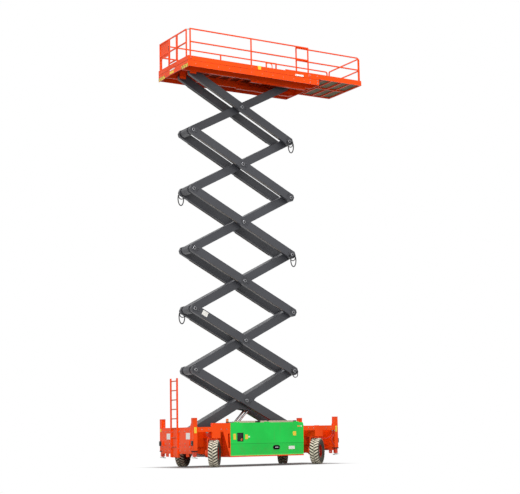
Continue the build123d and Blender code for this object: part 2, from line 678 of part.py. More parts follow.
for (end, side), corner in corner_names.items():
    turn = radians(crab_angles[corner])
    out = (-side * sin(turn), side * cos(turn), 0)
    centre = (chassis_x + end * wheel_x, side * wheel_y, tyre_radius)
    section_plane = Plane(origin=centre, x_dir=out, z_dir=(out[1], -out[0], 0))
    spin_axis = Axis(centre, out)
    tyre = tyre_shape.moved(Location(Plane(origin=centre, x_dir=(out[1], -out[0], 0), z_dir=(0, 0, 1))))
    tyre.label = f"tyre_{corner}"
    export_step(tyre, f"parts/tyre_{corner}.step")

    with BuildPart() as rim:
        with BuildSketch(section_plane):
            with BuildLine():
                inner = bead_radius - rim_wall
                Polyline((-bead_width / 2, bead_radius), (bead_width / 2, bead_radius),
                         (bead_width / 2, inner), (rim_disc_thickness, inner),
                         (rim_disc_thickness, hub_foot_radius), (rim_disc_thickness + hub_height, hub_cap_radius),
                         (rim_disc_thickness + hub_height, 0), (rim_disc_thickness + hub_bore_end, 0),
                         (rim_disc_thickness + hub_bore_end, spindle_radius + bearing_clearance),
                         (0, spindle_radius + bearing_clearance), (0, inner), (-bead_width / 2, inner),
                         close=True)
            make_face()
        revolve(axis=spin_axis)
    rim.part.label = f"rim_{corner}"
    export_step(rim.part, f"parts/rim_{corner}.step")

    leg_in = half + knuckle_leg_gap
    yoke_z = 2 * tyre_radius + yoke_gap
    with BuildPart() as knuckle:
        # Yoke over the tyre and the leg down its inner side.
        with BuildSketch(Plane(origin=centre, x_dir=out, z_dir=(out[1], -out[0], 0))):
            with BuildLine():
                outer_end = -leg_in - knuckle_leg_thickness
                Polyline((yoke_tip, yoke_z - tyre_radius), (yoke_tip, yoke_z + yoke_thickness - tyre_radius),
                         (outer_end, yoke_z + yoke_thickness - tyre_radius), (outer_end, -hub_motor_radius),
                         (-leg_in, -hub_motor_radius), (-leg_in, yoke_z - tyre_radius), close=True)
            make_face()
        extrude(amount=yoke_width / 2, both=True)
        with BuildSketch(Plane.XY.offset(yoke_z)):
            with Locations((centre[0], centre[1])):
                Circle(kingpin_radius)
        extrude(amount=chassis_top_z - kingpin_end_gap - yoke_z)
        motor_plane = Plane(origin=centre, z_dir=out).offset(-leg_in - knuckle_leg_thickness - hub_motor_length)
        with BuildSketch(motor_plane):
            Circle(hub_motor_radius)
        extrude(amount=leg_in + knuckle_leg_thickness + hub_motor_length - collar_gap)
        with BuildSketch(motor_plane):
            Circle(spindle_radius)
        extrude(amount=leg_in + knuckle_leg_thickness + hub_motor_length + rim_disc_thickness
                + hub_bore_end - spindle_end_gap)
    knuckle.part.label = f"knuckle_{corner}"
    export_step(knuckle.part, f"parts/knuckle_{corner}.step")

# ---- Side housings, their lift-up doors and what stands in them ----
door_top_z = housing_top_z
hinge_radius = 12.0
hinge_leaf = 4.0
hinge_leaf_width = 30.0
hinge_length = 60.0
hinge_gap = 2.0
hinge_end_distance = 250.0
hinge_xs = (housing_x0 + hinge_end_distance, (housing_x0 + housing_x1) / 2, housing_x1 - hinge_end_distance)
hinge_y = chassis_half_width - door_thickness - door_gap / 2
hinge_z = housing_top_z + hinge_radius
housing_outer_y = chassis_half_width - door_thickness - door_gap
# Control box in the near door: seen along Y, places from the middle of the chassis.
control_x0 = chassis_x - 1180.0
control_x1 = chassis_x - 965.0
control_z0 = 800.0
control_z1 = 1060.0
control_recess = 24.0
control_panel_thickness = 6.0
stop_button_radius = 24.0
stop_button_height = 14.0
tray_x0 = chassis_x - 1220.0
tray_x1 = chassis_x + 1130.0
tray_y0 = 720.0
tray_y1 = 1100.0
tray_height = 36.0
tray_lip = 12.0
for side, side_name in ((-1, "near"), (1, "far")):
    with BuildPart() as housing:
        with BuildSketch(Plane.XZ.offset(-side * (housing_inner_y + housing_outer_y) / 2)):
            with Locations(((housing_x0 + housing_x1) / 2, (housing_bottom_z + housing_top_z) / 2)):
                outline = Rectangle(housing_x1 - housing_x0, housing_top_z - housing_bottom_z)
            fillet(outline.vertices().sort_by(Axis.X)[-2:].sort_by(Axis.Y)[-1], door_corner_radius)
        extrude(amount=(housing_outer_y - housing_inner_y) / 2, both=True)
        with BuildSketch(Plane.XZ.offset(-side * (housing_inner_y + housing_wall))):
            with Locations(((housing_x0 + housing_x1) / 2, (housing_bottom_z + housing_top_z) / 2)):
                inside = Rectangle(housing_x1 - housing_x0 - 2 * housing_wall,
                                   housing_top_z - housing_bottom_z - 2 * housing_wall)
            fillet(inside.vertices().sort_by(Axis.X)[-2:].sort_by(Axis.Y)[-1], door_corner_radius - housing_wall)
        extrude(amount=-side * housing_outer_y, mode=Mode.SUBTRACT)
        if side == -1:
            # Tray of tread plate on the near housing.
            with BuildSketch(Plane.XY.offset(housing_top_z)):
                with Locations(((tray_x0 + tray_x1) / 2, side * (tray_y0 + tray_y1) / 2)):
                    Rectangle(tray_x1 - tray_x0, tray_y1 - tray_y0)
            extrude(amount=tray_height)
            with BuildSketch(Plane.XY.offset(housing_top_z + tray_height)):
                with Locations(((tray_x0 + tray_x1) / 2, side * (tray_y0 + tray_y1) / 2)):
                    Rectangle(tray_x1 - tray_x0 - 2 * tray_lip, tray_y1 - tray_y0 - 2 * tray_lip)
            extrude(amount=-tray_height / 2, mode=Mode.SUBTRACT)
        for x in hinge_xs:
            for knuckle_x in (x - hinge_length - hinge_gap, x + hinge_gap + hinge_length):
                with BuildSketch(Plane.YZ.offset(knuckle_x - hinge_length / 2)):
                    with Locations((side * hinge_y, hinge_z)):
                        Circle(hinge_radius)
                    with Locations((side * (hinge_y - hinge_leaf_width / 2), housing_top_z + hinge_leaf / 2)):
                        Rectangle(hinge_leaf_width, hinge_leaf)
                extrude(amount=hinge_length)
    housing.part.label = f"housing_{side_name}"
    export_step(housing.part, f"parts/housing_{side_name}.step")

    door_face = side * chassis_half_width
    door_back = side * (chassis_half_width - door_thickness)
    with BuildPart() as door:
        with BuildSketch(Plane.YZ.offset(housing_x0)):
            with BuildLine():
                Polyline((door_face, door_top_z), (door_face, door_crease_z),
                         (door_face - side * door_tuck, housing_bottom_z + door_gap),
                         (door_back, housing_bottom_z + door_gap), (door_back, door_top_z),
                         close=True)
            make_face()
        extrude(amount=housing_x1 - housing_x0)
        corner_edge = door.edges().filter_by(Axis.Y).group_by(Axis.Z)[-1].sort_by(Axis.X)[-1]
        fillet(corner_edge, door_corner_radius)
        if side == -1:
            control_face = Plane(origin=(0, door_face, 0), x_dir=(1, 0, 0), z_dir=(0, -1, 0))
            with BuildSketch(control_face):
                with Locations(((control_x0 + control_x1) / 2, (control_z0 + control_z1) / 2)):
                    Rectangle(control_x1 - control_x0, control_z1 - control_z0)
            extrude(amount=-control_recess, mode=Mode.SUBTRACT)
            with BuildSketch(control_face.offset(control_panel_thickness - control_recess)):
                with Locations((control_x1 - 2 * stop_button_radius, control_z0 + 2 * stop_button_radius)):
                    Circle(stop_button_radius)
            extrude(amount=stop_button_height)
            with BuildSketch(control_face.offset(-control_recess)):
                with Locations(((control_x0 + control_x1) / 2, (control_z0 + control_z1) / 2)):
                    Rectangle(control_x1 - control_x0 - 2 * control_panel_thickness,
                              control_z1 - control_z0 - 2 * control_panel_thickness)
            extrude(amount=control_panel_thickness)
        for x in hinge_xs:
            with BuildSketch(Plane.YZ.offset(x - hinge_length / 2)):
                with Locations((side * hinge_y, hinge_z)):
                    Circle(hinge_radius)
                with Locations((side * (hinge_y + hinge_leaf_width / 2), housing_top_z + hinge_leaf / 2)):
                    Rectangle(hinge_leaf_width, hinge_leaf)
            extrude(amount=hinge_length)
    door.part.label = f"door_{side_name}"
    export_step(door.part, f"parts/door_{side_name}.step")

# Beacon on the near housing, by the scissor well.
beacon_x = housing_x0 + 60.0
beacon_y = -900.0
beacon_foot_radius = 50.0
beacon_foot_height = 24.0
beacon_radius = 42.0
beacon_height = 110.0
with BuildPart() as beacon:
    with BuildSketch(Plane.XY.offset(housing_top_z)):
        with Locations((beacon_x, beacon_y)):
            Circle(beacon_foot_radius)
    extrude(amount=beacon_foot_height)
    with BuildSketch(Plane.XY.offset(housing_top_z + beacon_foot_height)):
        with Locations((beacon_x, beacon_y)):
            Circle(beacon_radius)
    extrude(amount=beacon_height)
    fillet(beacon.faces().sort_by(Axis.Z)[-1].edges(), beacon_radius / 3)
beacon.part.label = "beacon"
export_step(beacon.part, "parts/beacon.step")

engine_length = 900.0
engine_width = 380.0
engine_height = 620.0
with BuildPart() as engine_block:
    with BuildSketch(Plane.XY.offset(housing_bottom_z + housing_wall)):
        with Locations((chassis_x, (housing_inner_y + housing_wall + housing_outer_y) / 2)):
            Rectangle(engine_length, engine_width)
    extrude(amount=engine_height)
engine_block.part.label = "engine_block"
export_step(engine_block.part, "parts/engine_block.step")

# ---- Boarding ladder on the end plate ----
ladder_y0 = -130.0
ladder_y1 = 310.0
ladder_bottom_z = 330.0
ladder_top_z = 2830.0
ladder_rail = 46.0
rung_pitch = 300.0
rung_radius = 15.0
first_rung_drop = 80.0
ladder_x = chassis_x - chassis_end_x - ladder_rail / 2
rung_count = int((ladder_top_z - ladder_bottom_z) / rung_pitch)
with BuildPart() as ladder:
    with BuildSketch(Plane.XY.offset(ladder_bottom_z)):
        with Locations((ladder_x, ladder_y0), (ladder_x, ladder_y1)):
            Rectangle(ladder_rail, ladder_rail)
    extrude(amount=ladder_top_z - ladder_bottom_z)
    for rung in range(rung_count):
        rung_z = ladder_top_z - first_rung_drop - rung * rung_pitch
        with BuildSketch(Plane.XZ.offset(-ladder_y0)):
            with Locations((ladder_x, rung_z)):
                Circle(rung_radius)
        extrude(amount=-(ladder_y1 - ladder_y0))
ladder.part.label = "ladder"
export_step(ladder.part, "parts/ladder.step")

# ---- Platform deck ----
deck_mid_x = (deck_x0 + deck_x1) / 2
deck_length = deck_x1 - deck_x0
joist_pitch = 425.0
joist_count = 12
side_beam_inset = 60.0
bracket_width = 220.0
bracket_plate = 50.0
bracket_drop = 75.0
bracket_pin_end = 12.0
seam_drop = 42.0  # groove between the side beam and the toe board
seam_height = 9.0
seam_depth = 6.0
end_block_drop = 28.0
end_block_width = 400.0
platform_bracket_y = stack_half_width + pin_head_gap + lane_gap
side_top_z = floor_z
with BuildPart() as platform_deck:
    with BuildSketch(Plane.XY.offset(floor_z - floor_thickness)):
        with Locations((deck_mid_x, 0)):
            Rectangle(deck_length, 2 * deck_half_width)
    extrude(amount=floor_thickness)
    with BuildSketch(Plane.XY.offset(floor_z - floor_thickness - joist_depth)):
        with GridLocations(joist_pitch, 0, joist_count, 1):
            with Locations((deck_mid_x, 0)):
                Rectangle(joist_width, 2 * deck_half_width - 2 * deck_side_thickness)
    extrude(amount=joist_depth)
    with BuildSketch(Plane.XY.offset(deck_side_bottom_z)):
        with Locations((deck_mid_x, 0)):
            Rectangle(deck_length, 2 * deck_half_width)
            Rectangle(deck_length - 2 * deck_side_thickness, 2 * deck_half_width - 2 * deck_side_thickness,
                      mode=Mode.SUBTRACT)
    extrude(amount=side_top_z - deck_side_bottom_z)
    with BuildSketch(Plane.XY.offset(floor_z)):
        for side in (-1, 1):
            with Locations((deck_mid_x, side * (deck_half_width - toe_board_thickness / 2))):
                Rectangle(deck_length, toe_board_thickness)
        with Locations((deck_x0 + toe_board_thickness / 2, 0)):
            Rectangle(toe_board_thickness, 2 * deck_half_width)
    extrude(amount=toe_board_height)
    # Groove along the outside, where the toe board meets the beam.
    with BuildSketch(Plane.XY.offset(floor_z - seam_drop)):
        with Locations((deck_mid_x, 0)):
            Rectangle(deck_length, 2 * deck_half_width)
            Rectangle(deck_length - 2 * seam_depth, 2 * (deck_half_width - seam_depth), mode=Mode.SUBTRACT)
    extrude(amount=seam_height, mode=Mode.SUBTRACT)
    for side in (-1, 1):
        # Block under each corner of the end beam.
        with BuildSketch(Plane.XY.offset(deck_side_bottom_z - end_block_drop)):
            with Locations((deck_x0 + deck_side_thickness / 2, side * (deck_half_width - end_block_width / 2))):
                Rectangle(deck_side_thickness, end_block_width)
        extrude(amount=end_block_drop)
        # Long beams under the joists carry the upper roller tracks.
        track_mid_y = side * (roller_inner_y + longeron_inner_y) / 2
        track_reach = longeron_inner_y - roller_inner_y
        with BuildSketch(Plane.YZ.offset(track_x0)):
            with Locations((track_mid_y, top_pin_z + roller_radius + roller_seat + track_wall / 2)):
                Rectangle(track_reach, track_wall)
            with Locations((track_mid_y, top_pin_z - roller_radius - roller_gap - track_wall / 2)):
                Rectangle(track_reach, track_wall)
            with Locations((side * (track_web_y + track_wall / 2), top_pin_z)):
                Rectangle(track_wall, 2 * roller_radius + 2 * roller_gap + 2 * track_wall)
        extrude(amount=track_x1 - track_x0)
        with BuildSketch(Plane.XY.offset(deck_side_bottom_z)):
            with Locations((deck_mid_x, side * (longeron_inner_y + side_beam_inset / 2))):
                Rectangle(deck_length - 2 * deck_side_thickness, side_beam_inset)
        extrude(amount=floor_z - floor_thickness - deck_side_bottom_z)
        # Brackets and pins for the upper fixed ends of the top outer arms.
        inner_bracket_y = stack_half_width - outer_arm_thickness - lane_gap - bracket_plate
        for bracket_y in (inner_bracket_y, platform_bracket_y):
            far_y = max(side * bracket_y, side * (bracket_y + bracket_plate))
            with BuildSketch(Plane(origin=(fixed_pin_x, far_y, top_pin_z), z_dir=(0, -1, 0), x_dir=(1, 0, 0))):
                with Locations((0, (deck_floor_gap - bracket_drop) / 2)):
                    Rectangle(bracket_width, deck_floor_gap + bracket_drop)
            extrude(amount=bracket_plate)
        pin_y0 = inner_bracket_y - bracket_pin_end
        pin_y1 = platform_bracket_y + bracket_plate + bracket_pin_end
        with BuildSketch(Plane(origin=(fixed_pin_x, side * pin_y0, top_pin_z), z_dir=(0, side, 0))):
            Circle(pin_radius)
        extrude(amount=pin_y1 - pin_y0)
    # Wide joist over the brackets.
    with BuildSketch(Plane.XY.offset(top_pin_z + deck_floor_gap)):
        with Locations((fixed_pin_x, 0)):
            Rectangle(bracket_width, 2 * deck_half_width - 2 * deck_side_thickness)
    extrude(amount=joist_depth)
platform_deck.part.label = "platform_deck"
export_step(platform_deck.part, "parts/platform_deck.step")

# ---- Platform guard rails ----
mid_rail_share = 0.55
rail_gap = 1.0
rail_mid_z = floor_z + mid_rail_share * rail_height
rail_y = deck_half_width - toe_board_thickness - rail_size / 2 - rail_gap
rail_x0 = deck_x0 + toe_board_thickness + rail_size / 2 + rail_gap
side_rail_x0 = rail_x0 + 70.0
rail_x1 = chassis_x + 1980.0
post_xs = (side_rail_x0, chassis_x - 320.0, rail_x1)
gate_y0 = -250.0
gate_y1 = 350.0
end_frames = ((-900.0, gate_y0), (gate_y1, 1000.0))  # y of the posts on both sides of the gate
end_panel_height = 580.0
end_panel_plate = 4.0
gate_gap = 8.0
gate_hinge_radius = 9.0
gate_knuckle = 30.0
gate_hinge_x = rail_x0 + rail_size / 2 + gate_hinge_radius
gate_hinge_y = gate_y0 + rail_size / 2 + gate_gap / 2
gate_hinge_foot = 300.0  # lower hinge above the floor
gate_hinge_drop = 250.0  # upper hinge below the top rail
gate_hinge_zs = (floor_z + gate_hinge_foot, floor_z + rail_height - gate_hinge_drop)
gate_leaf = 4.0
gate_leaf_width = 30.0
gate_leaf_x = gate_hinge_x - gate_hinge_radius + gate_leaf / 2
with BuildPart() as guard_rails:
    with BuildSketch(Plane.XY.offset(floor_z)):
        with Locations(*[(x, side * rail_y) for x in post_xs for side in (-1, 1)]):
            Rectangle(rail_size, rail_size)
        with Locations(*[(rail_x0, y) for frame_ys in end_frames for y in frame_ys]):
            Rectangle(rail_size, rail_size)
    extrude(amount=rail_height)
    for level in (rail_mid_z, rail_top_z - rail_size):
        with BuildSketch(Plane.XY.offset(level)):
            for side in (-1, 1):
                with Locations(((side_rail_x0 + rail_x1) / 2, side * rail_y)):
                    Rectangle(rail_x1 - side_rail_x0 + rail_size, rail_size)
            for frame_y0, frame_y1 in end_frames:
                with Locations((rail_x0, (frame_y0 + frame_y1) / 2)):
                    Rectangle(rail_size, frame_y1 - frame_y0)
        extrude(amount=rail_size)
    # Sheet panel in the far end frame.
    with BuildSketch(Plane.XY.offset(rail_top_z - end_panel_height)):
        with Locations((rail_x0, sum(end_frames[1]) / 2)):
            Rectangle(end_panel_plate, end_frames[1][1] - end_frames[1][0])
    extrude(amount=end_panel_height - rail_size)
    for hinge_low in gate_hinge_zs:
        for knuckle_z in (hinge_low, hinge_low + 2 * (gate_knuckle + hinge_gap)):
            with BuildSketch(Plane.XY.offset(knuckle_z)):
                with Locations((gate_hinge_x, gate_hinge_y)):
                    Circle(gate_hinge_radius)
                with Locations((gate_leaf_x, gate_hinge_y - gate_leaf_width / 2)):
                    Rectangle(gate_leaf, gate_leaf_width)
            extrude(amount=gate_knuckle)
guard_rails.part.label = "guard_rails"
export_step(guard_rails.part, "parts/guard_rails.step")

# ---- Entry gate between its two posts ----
gate_width = gate_y1 - gate_y0 - rail_size - 2 * gate_gap
gate_mid_y = (gate_y0 + gate_y1) / 2
gate_lift = 60.0  # above the toe board
gate_bottom_z = floor_z + toe_board_height + gate_lift
with BuildPart() as gate:
    with BuildSketch(Plane.YZ.offset(rail_x0 - rail_size / 2)):
        with Locations((gate_mid_y, (gate_bottom_z + rail_top_z) / 2)):
            Rectangle(gate_width, rail_top_z - gate_bottom_z)
            Rectangle(gate_width - 2 * rail_size, rail_top_z - gate_bottom_z - 2 * rail_size, mode=Mode.SUBTRACT)
        with Locations((gate_mid_y, rail_mid_z + rail_size / 2)):
            Rectangle(gate_width, rail_size)
    extrude(amount=rail_size)
    for hinge_low in gate_hinge_zs:
        with BuildSketch(Plane.XY.offset(hinge_low + gate_knuckle + hinge_gap)):
            with Locations((gate_hinge_x, gate_hinge_y)):
                Circle(gate_hinge_radius)
            with Locations((gate_leaf_x, gate_hinge_y + gate_leaf_width / 2)):
                Rectangle(gate_leaf, gate_leaf_width)
        extrude(amount=gate_knuckle)
gate.part.label = "gate"
export_step(gate.part, "parts/gate.step")

# ---- Deck extension and its rails ----
extension_x1 = deck_x1 + extension_reach
extension_x0 = extension_x1 - extension_length
extension_z = floor_z + extension_lift
extension_mid_x = (extension_x0 + extension_x1) / 2
plate_thickness = 6.0
skid_end_gap = 80.0
with BuildPart() as extension_deck:
    with BuildSketch(Plane.XY.offset(extension_z)):
        with Locations((extension_mid_x, 0)):
            Rectangle(extension_length, 2 * extension_half_width)
    extrude(amount=extension_thickness)
    bay_columns = 4
    bay_rows = 2
    bay_x = (extension_length - extension_rib) / bay_columns
    bay_y = (2 * extension_half_width - extension_rib) / bay_rows
    with BuildSketch(Plane.XY.offset(extension_z)):
        with Locations((extension_mid_x, 0)):
            with GridLocations(bay_x, bay_y, bay_columns, bay_rows):
                Rectangle(bay_x - extension_rib, bay_y - extension_rib)
    extrude(amount=extension_thickness - plate_thickness, mode=Mode.SUBTRACT)
    with BuildSketch(Plane.XY.offset(extension_z + extension_thickness)):
        with Locations((extension_x1 - toe_board_thickness / 2, 0)):
            Rectangle(toe_board_thickness, 2 * extension_half_width)
        for side in (-1, 1):
            with Locations((extension_mid_x, side * (extension_half_width - toe_board_thickness / 2))):
                Rectangle(extension_length, toe_board_thickness)
    extrude(amount=toe_board_height)
    # Skids that run on the deck floor.
    skid_length = extension_length - extension_reach - skid_end_gap
    with BuildSketch(Plane.XY.offset(floor_z + skid_gap)):
        for side in (-1, 1):
            with Locations((extension_x0 + skid_length / 2, side * (extension_half_width - extension_rib / 2))):
                Rectangle(skid_length, extension_rib)
    extrude(amount=extension_lift - skid_gap)
extension_deck.part.label = "extension_deck"
export_step(extension_deck.part, "parts/extension_deck.step")

extension_rail_y = extension_half_width - toe_board_thickness - rail_size / 2 - rail_gap
extension_rail_x0 = chassis_x + 1530.0
extension_rail_x1 = extension_x1 - toe_board_thickness - rail_size / 2 - rail_gap
extension_floor_z = extension_z + extension_thickness
side_frame_x1 = extension_rail_x1 - 62.0
end_frame_y = extension_rail_y - 50.0
rail_bend = 85.0
rail_drop = 30.0  # the sliding frames stand a little lower than the fixed ones
frame_top_z = rail_top_z - rail_drop
frame_mid_z = rail_mid_z - rail_drop
with BuildPart() as extension_rails:
    # Columns: plane, first and last post, number of bent top corners.
    frames = [(Plane.XZ.offset(-side * extension_rail_y), extension_rail_x0, side_frame_x1, 1) for side in (-1, 1)]
    frames.append((Plane.YZ.offset(extension_rail_x1), -end_frame_y, end_frame_y, 2))
    for frame_plane, start, stop, bends in frames:
        window_z0 = frame_mid_z + rail_size
        window_z1 = frame_top_z - rail_size
        with BuildSketch(frame_plane, mode=Mode.PRIVATE) as window:
            with Locations(((start + stop) / 2, (window_z0 + window_z1) / 2)):
                Rectangle(stop - start - rail_size, window_z1 - window_z0)
            fillet(window.vertices().sort_by(Axis.Y)[-2:].sort_by(Axis.X)[-bends:], rail_bend - rail_size)
        with BuildSketch(frame_plane):
            with Locations(((start + stop) / 2, (extension_floor_z + frame_top_z) / 2)):
                bars = Rectangle(stop - start + rail_size, frame_top_z - extension_floor_z)
            fillet(bars.vertices().sort_by(Axis.Y)[-2:].sort_by(Axis.X)[-bends:], rail_bend)
            with Locations(((start + stop) / 2, (extension_floor_z + frame_mid_z) / 2)):
                Rectangle(stop - start - rail_size, frame_mid_z - extension_floor_z, mode=Mode.SUBTRACT)
            add(window.sketch_local, mode=Mode.SUBTRACT)
        extrude(amount=rail_size / 2, both=True)
extension_rails.part.label = "extension_rails"
export_step(extension_rails.part, "parts/extension_rails.step")

print("arm length", round(arm_length, 1), "angle", round(degrees(arm_angle), 3))
print("gusset pin", round(gusset_pin_x, 1), round(gusset_pin_z, 1), "lift", round(lift_length, 1),
      round(degrees(lift_angle), 2))
print("floor", round(floor_z, 1), "rail top", round(rail_top_z, 1))
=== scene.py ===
"""Looks for a large rough-terrain scissor lift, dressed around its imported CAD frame."""
from math import atan2, cos, hypot, pi, radians, sin

import bpy
import numpy as np
from mathutils import Matrix, Vector


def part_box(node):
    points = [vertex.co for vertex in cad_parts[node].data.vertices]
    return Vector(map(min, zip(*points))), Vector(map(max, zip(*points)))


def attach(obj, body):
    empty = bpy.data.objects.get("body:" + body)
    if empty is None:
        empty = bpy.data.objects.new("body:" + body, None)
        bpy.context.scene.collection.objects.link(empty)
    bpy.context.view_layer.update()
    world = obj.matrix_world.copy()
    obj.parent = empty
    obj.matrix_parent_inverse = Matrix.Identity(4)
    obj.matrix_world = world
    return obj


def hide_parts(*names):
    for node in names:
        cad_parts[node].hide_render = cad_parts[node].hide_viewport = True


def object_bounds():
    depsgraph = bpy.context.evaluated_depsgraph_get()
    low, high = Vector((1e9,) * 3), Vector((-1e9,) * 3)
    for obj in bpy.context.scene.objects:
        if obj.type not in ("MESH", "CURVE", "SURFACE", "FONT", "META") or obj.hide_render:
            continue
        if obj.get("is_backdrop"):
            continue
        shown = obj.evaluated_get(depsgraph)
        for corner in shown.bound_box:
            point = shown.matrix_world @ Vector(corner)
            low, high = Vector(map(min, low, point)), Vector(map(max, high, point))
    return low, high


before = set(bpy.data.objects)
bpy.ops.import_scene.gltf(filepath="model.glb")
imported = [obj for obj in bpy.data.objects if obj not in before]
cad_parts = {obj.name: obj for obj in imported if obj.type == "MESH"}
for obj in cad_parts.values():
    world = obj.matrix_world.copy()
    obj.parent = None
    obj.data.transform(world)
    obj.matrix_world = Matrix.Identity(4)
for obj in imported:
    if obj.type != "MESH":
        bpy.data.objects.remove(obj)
cad_box = [list(corner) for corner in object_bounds()]

# ---- Studio: floor, sky, lamps and camera ----
# A pale seamless floor under an even sky, one broad key lamp high on the near, ladder-end side, a wide fill
# lamp in front, and a long lens just under a metre above the floor. The floor shows plain white, but for a
# patch round the wheels that keeps its shadow.
CAMERA_PLACE = (-22.4245, -36.44, 0.956)
CAMERA_AZIMUTH = 31.37
CAMERA_TILT = 8.49
CAMERA_ROLL = 1.04
LENS = 87.6
FLOOR_SIZE = 240.0
FLOOR_GREY = (0.42, 0.42, 0.42, 1)
SHADOW_MIDDLE = (-0.74, 0.1)
SHADOW_HALF_SIZE = (2.75, 1.15)
SHADOW_FADE = 0.75
SHADOW_GLOW = 0.08
SKY_LEVEL = 0.5
KEY_POWER = 9000.0
FRONT_POWER = 7000.0


def linear(red, green, blue):
    """Display colour 0-255 as the linear RGBA that shaders use, by the sRGB curve."""
    shares = [channel / 255 for channel in (red, green, blue)]
    curve = [s / 12.92 if s <= 0.04045 else ((s + 0.055) / 1.055) ** 2.4 for s in shares]
    return (*curve, 1.0)


class Value:
    """An output socket that varies over a surface; arithmetic on it adds Math nodes."""

    def __init__(self, finish, link):
        self.finish = finish
        self.link = link

    def math(self, operation, *terms):
        """A Math node of that operation on the terms, in their order."""
        return self.finish.node("ShaderNodeMath", {"operation": operation}, dict(enumerate(terms)))

    def __add__(self, other):
        return self.math("ADD", self, other)

    __radd__ = __add__

    def __mul__(self, other):
        return self.math("MULTIPLY", self, other)

    __rmul__ = __mul__

    def __sub__(self, other):
        return self.math("SUBTRACT", self, other)

    def __rsub__(self, other):
        return self.math("SUBTRACT", other, self)

    def __truediv__(self, other):
        return self.math("DIVIDE", self, other)

    def __rtruediv__(self, other):
        return self.math("DIVIDE", other, self)

    def __pow__(self, other):
        return self.math("POWER", self, other)

    def __gt__(self, other):
        return self.math("GREATER_THAN", self, other)

    def __lt__(self, other):
        return self.math("LESS_THAN", self, other)

    def __abs__(self):
        return self.math("ABSOLUTE", self)

    def __round__(self):
        return self.math("ROUND", self)

    def sine(self):
        return self.math("SINE", self)

    def fraction(self):
        return self.math("FRACT", self)

    def ramp(self, low, high):
        """0 below low, 1 above high, smooth between."""
        settings = {"interpolation_type": "SMOOTHSTEP"}
        places = {0: self, 1: low, 2: high, 3: 0.0, 4: 1.0}
        return self.finish.node("ShaderNodeMapRange", settings, places)

    def between(self, low, high):
        """1 from low to high, 0 outside."""
        return (self > low) * (self < high)

    def smaller(self, other):
        return self.math("MINIMUM", self, other)

    def larger(self, other):
        return self.math("MAXIMUM", self, other)


class Finish:
    """A material or world in the making, with the object coordinates of its surface and their x, y and z.
    node() adds any node; surface() or close() ends it."""

    def __init__(self, name, kind=bpy.data.materials):
        self.made = kind.new(name)
        self.made.use_nodes = True
        self.tree = self.made.node_tree
        self.tree.nodes.clear()
        self.coords = self.node("ShaderNodeTexCoord", out="Object")
        self.x, self.y, self.z = self.split(self.coords)

    def node(self, kind, settings=None, places=None, out=0):
        """Adds a node of that kind: settings first, then socket values or links, by name or number."""
        made = self.tree.nodes.new(kind)
        for key, value in (settings or {}).items():
            setattr(made, key, value)
        for key, value in (places or {}).items():
            if isinstance(value, Value):
                self.tree.links.new(value.link, made.inputs[key])
            else:
                made.inputs[key].default_value = value
        return Value(self, made.outputs[out])

    def split(self, vector):
        """The x, y and z of a vector."""
        return [self.node("ShaderNodeSeparateXYZ", None, {0: vector}, out) for out in range(3)]

    def facing_up(self):
        """1 where the surface faces up, 0 on walls, -1 below."""
        return self.split(self.node("ShaderNodeNewGeometry", out="Normal"))[2]

    def noise(self, scale, detail=2.0, stretch=None):
        """Smooth noise, about 0.3 to 0.7; stretch scales the coordinates first."""
        coords = self.coords
        if stretch:
            coords = self.node("ShaderNodeMapping", None, {"Vector": coords, "Scale": stretch})
        places = {"Vector": coords, "Scale": scale, "Detail": detail}
        return self.node("ShaderNodeTexNoise", None, places, "Fac")

    def mix(self, share, first, second):
        """Colour first where share is 0, second where it is 1."""
        settings = {"data_type": "RGBA", "clamp_factor": True}
        return self.node("ShaderNodeMix", settings, {0: share, 6: first, 7: second}, 2)

    def mottle(self, scale, light, dark, detail=4.0):
        """Colour that wanders between light and dark."""
        return self.mix(self.noise(scale, detail).ramp(0.35, 0.7), light, dark)

    def bump(self, height, distance, strength, under=None):
        """Normal of a surface raised by height times distance, over the normal under it."""
        places = {"Height": height, "Distance": distance, "Strength": strength}
        if under is not None:
            places["Normal"] = under
        return self.node("ShaderNodeBump", None, places)

    def surface(self, **sockets):
        """Principled shader to the output; socket names have _ for a space."""
        names = {key.replace("_", " "): value for key, value in sockets.items()}
        return self.close(self.node("ShaderNodeBsdfPrincipled", None, names))

    def close(self, shader, output="ShaderNodeOutputMaterial"):
        end = self.tree.nodes.new(output)
        self.tree.links.new(shader.link, end.inputs["Surface"])
        return self.made


def plain_light(finish):
    """1 for camera, glossy and transmission rays, else 0."""
    seen = finish.node("ShaderNodeLightPath", out="Is Camera Ray")
    for ray in ("Is Glossy Ray", "Is Transmission Ray"):
        seen = seen + finish.node("ShaderNodeLightPath", out=ray)
    return seen.smaller(1.0)


floor_finish = Finish("studio_floor")
matt = floor_finish.node("ShaderNodeBsdfDiffuse", None, {"Color": FLOOR_GREY})
glow = floor_finish.node("ShaderNodeEmission", None, {"Strength": 1.0})
beyond_x = abs(floor_finish.x - SHADOW_MIDDLE[0]) - SHADOW_HALF_SIZE[0]
beyond_y = abs(floor_finish.y - SHADOW_MIDDLE[1]) - SHADOW_HALF_SIZE[1]
apart = beyond_x.larger(beyond_y).ramp(0.0, SHADOW_FADE)
share = plain_light(floor_finish) * (SHADOW_GLOW + apart * (1 - SHADOW_GLOW))
floor_finish.close(floor_finish.node("ShaderNodeMixShader", None, {0: share, 1: matt, 2: glow}))
floor_mesh = bpy.data.meshes.new("studio_floor")
reach = FLOOR_SIZE / 2
floor_corners = [(-reach, -reach, 0), (reach, -reach, 0), (reach, reach, 0), (-reach, reach, 0)]
floor_mesh.from_pydata(floor_corners, [], [(0, 1, 2, 3)])
floor_mesh.materials.append(floor_finish.made)
floor = bpy.data.objects.new("studio_floor", floor_mesh)
bpy.context.collection.objects.link(floor)
floor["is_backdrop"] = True

sky = Finish("studio", bpy.data.worlds)
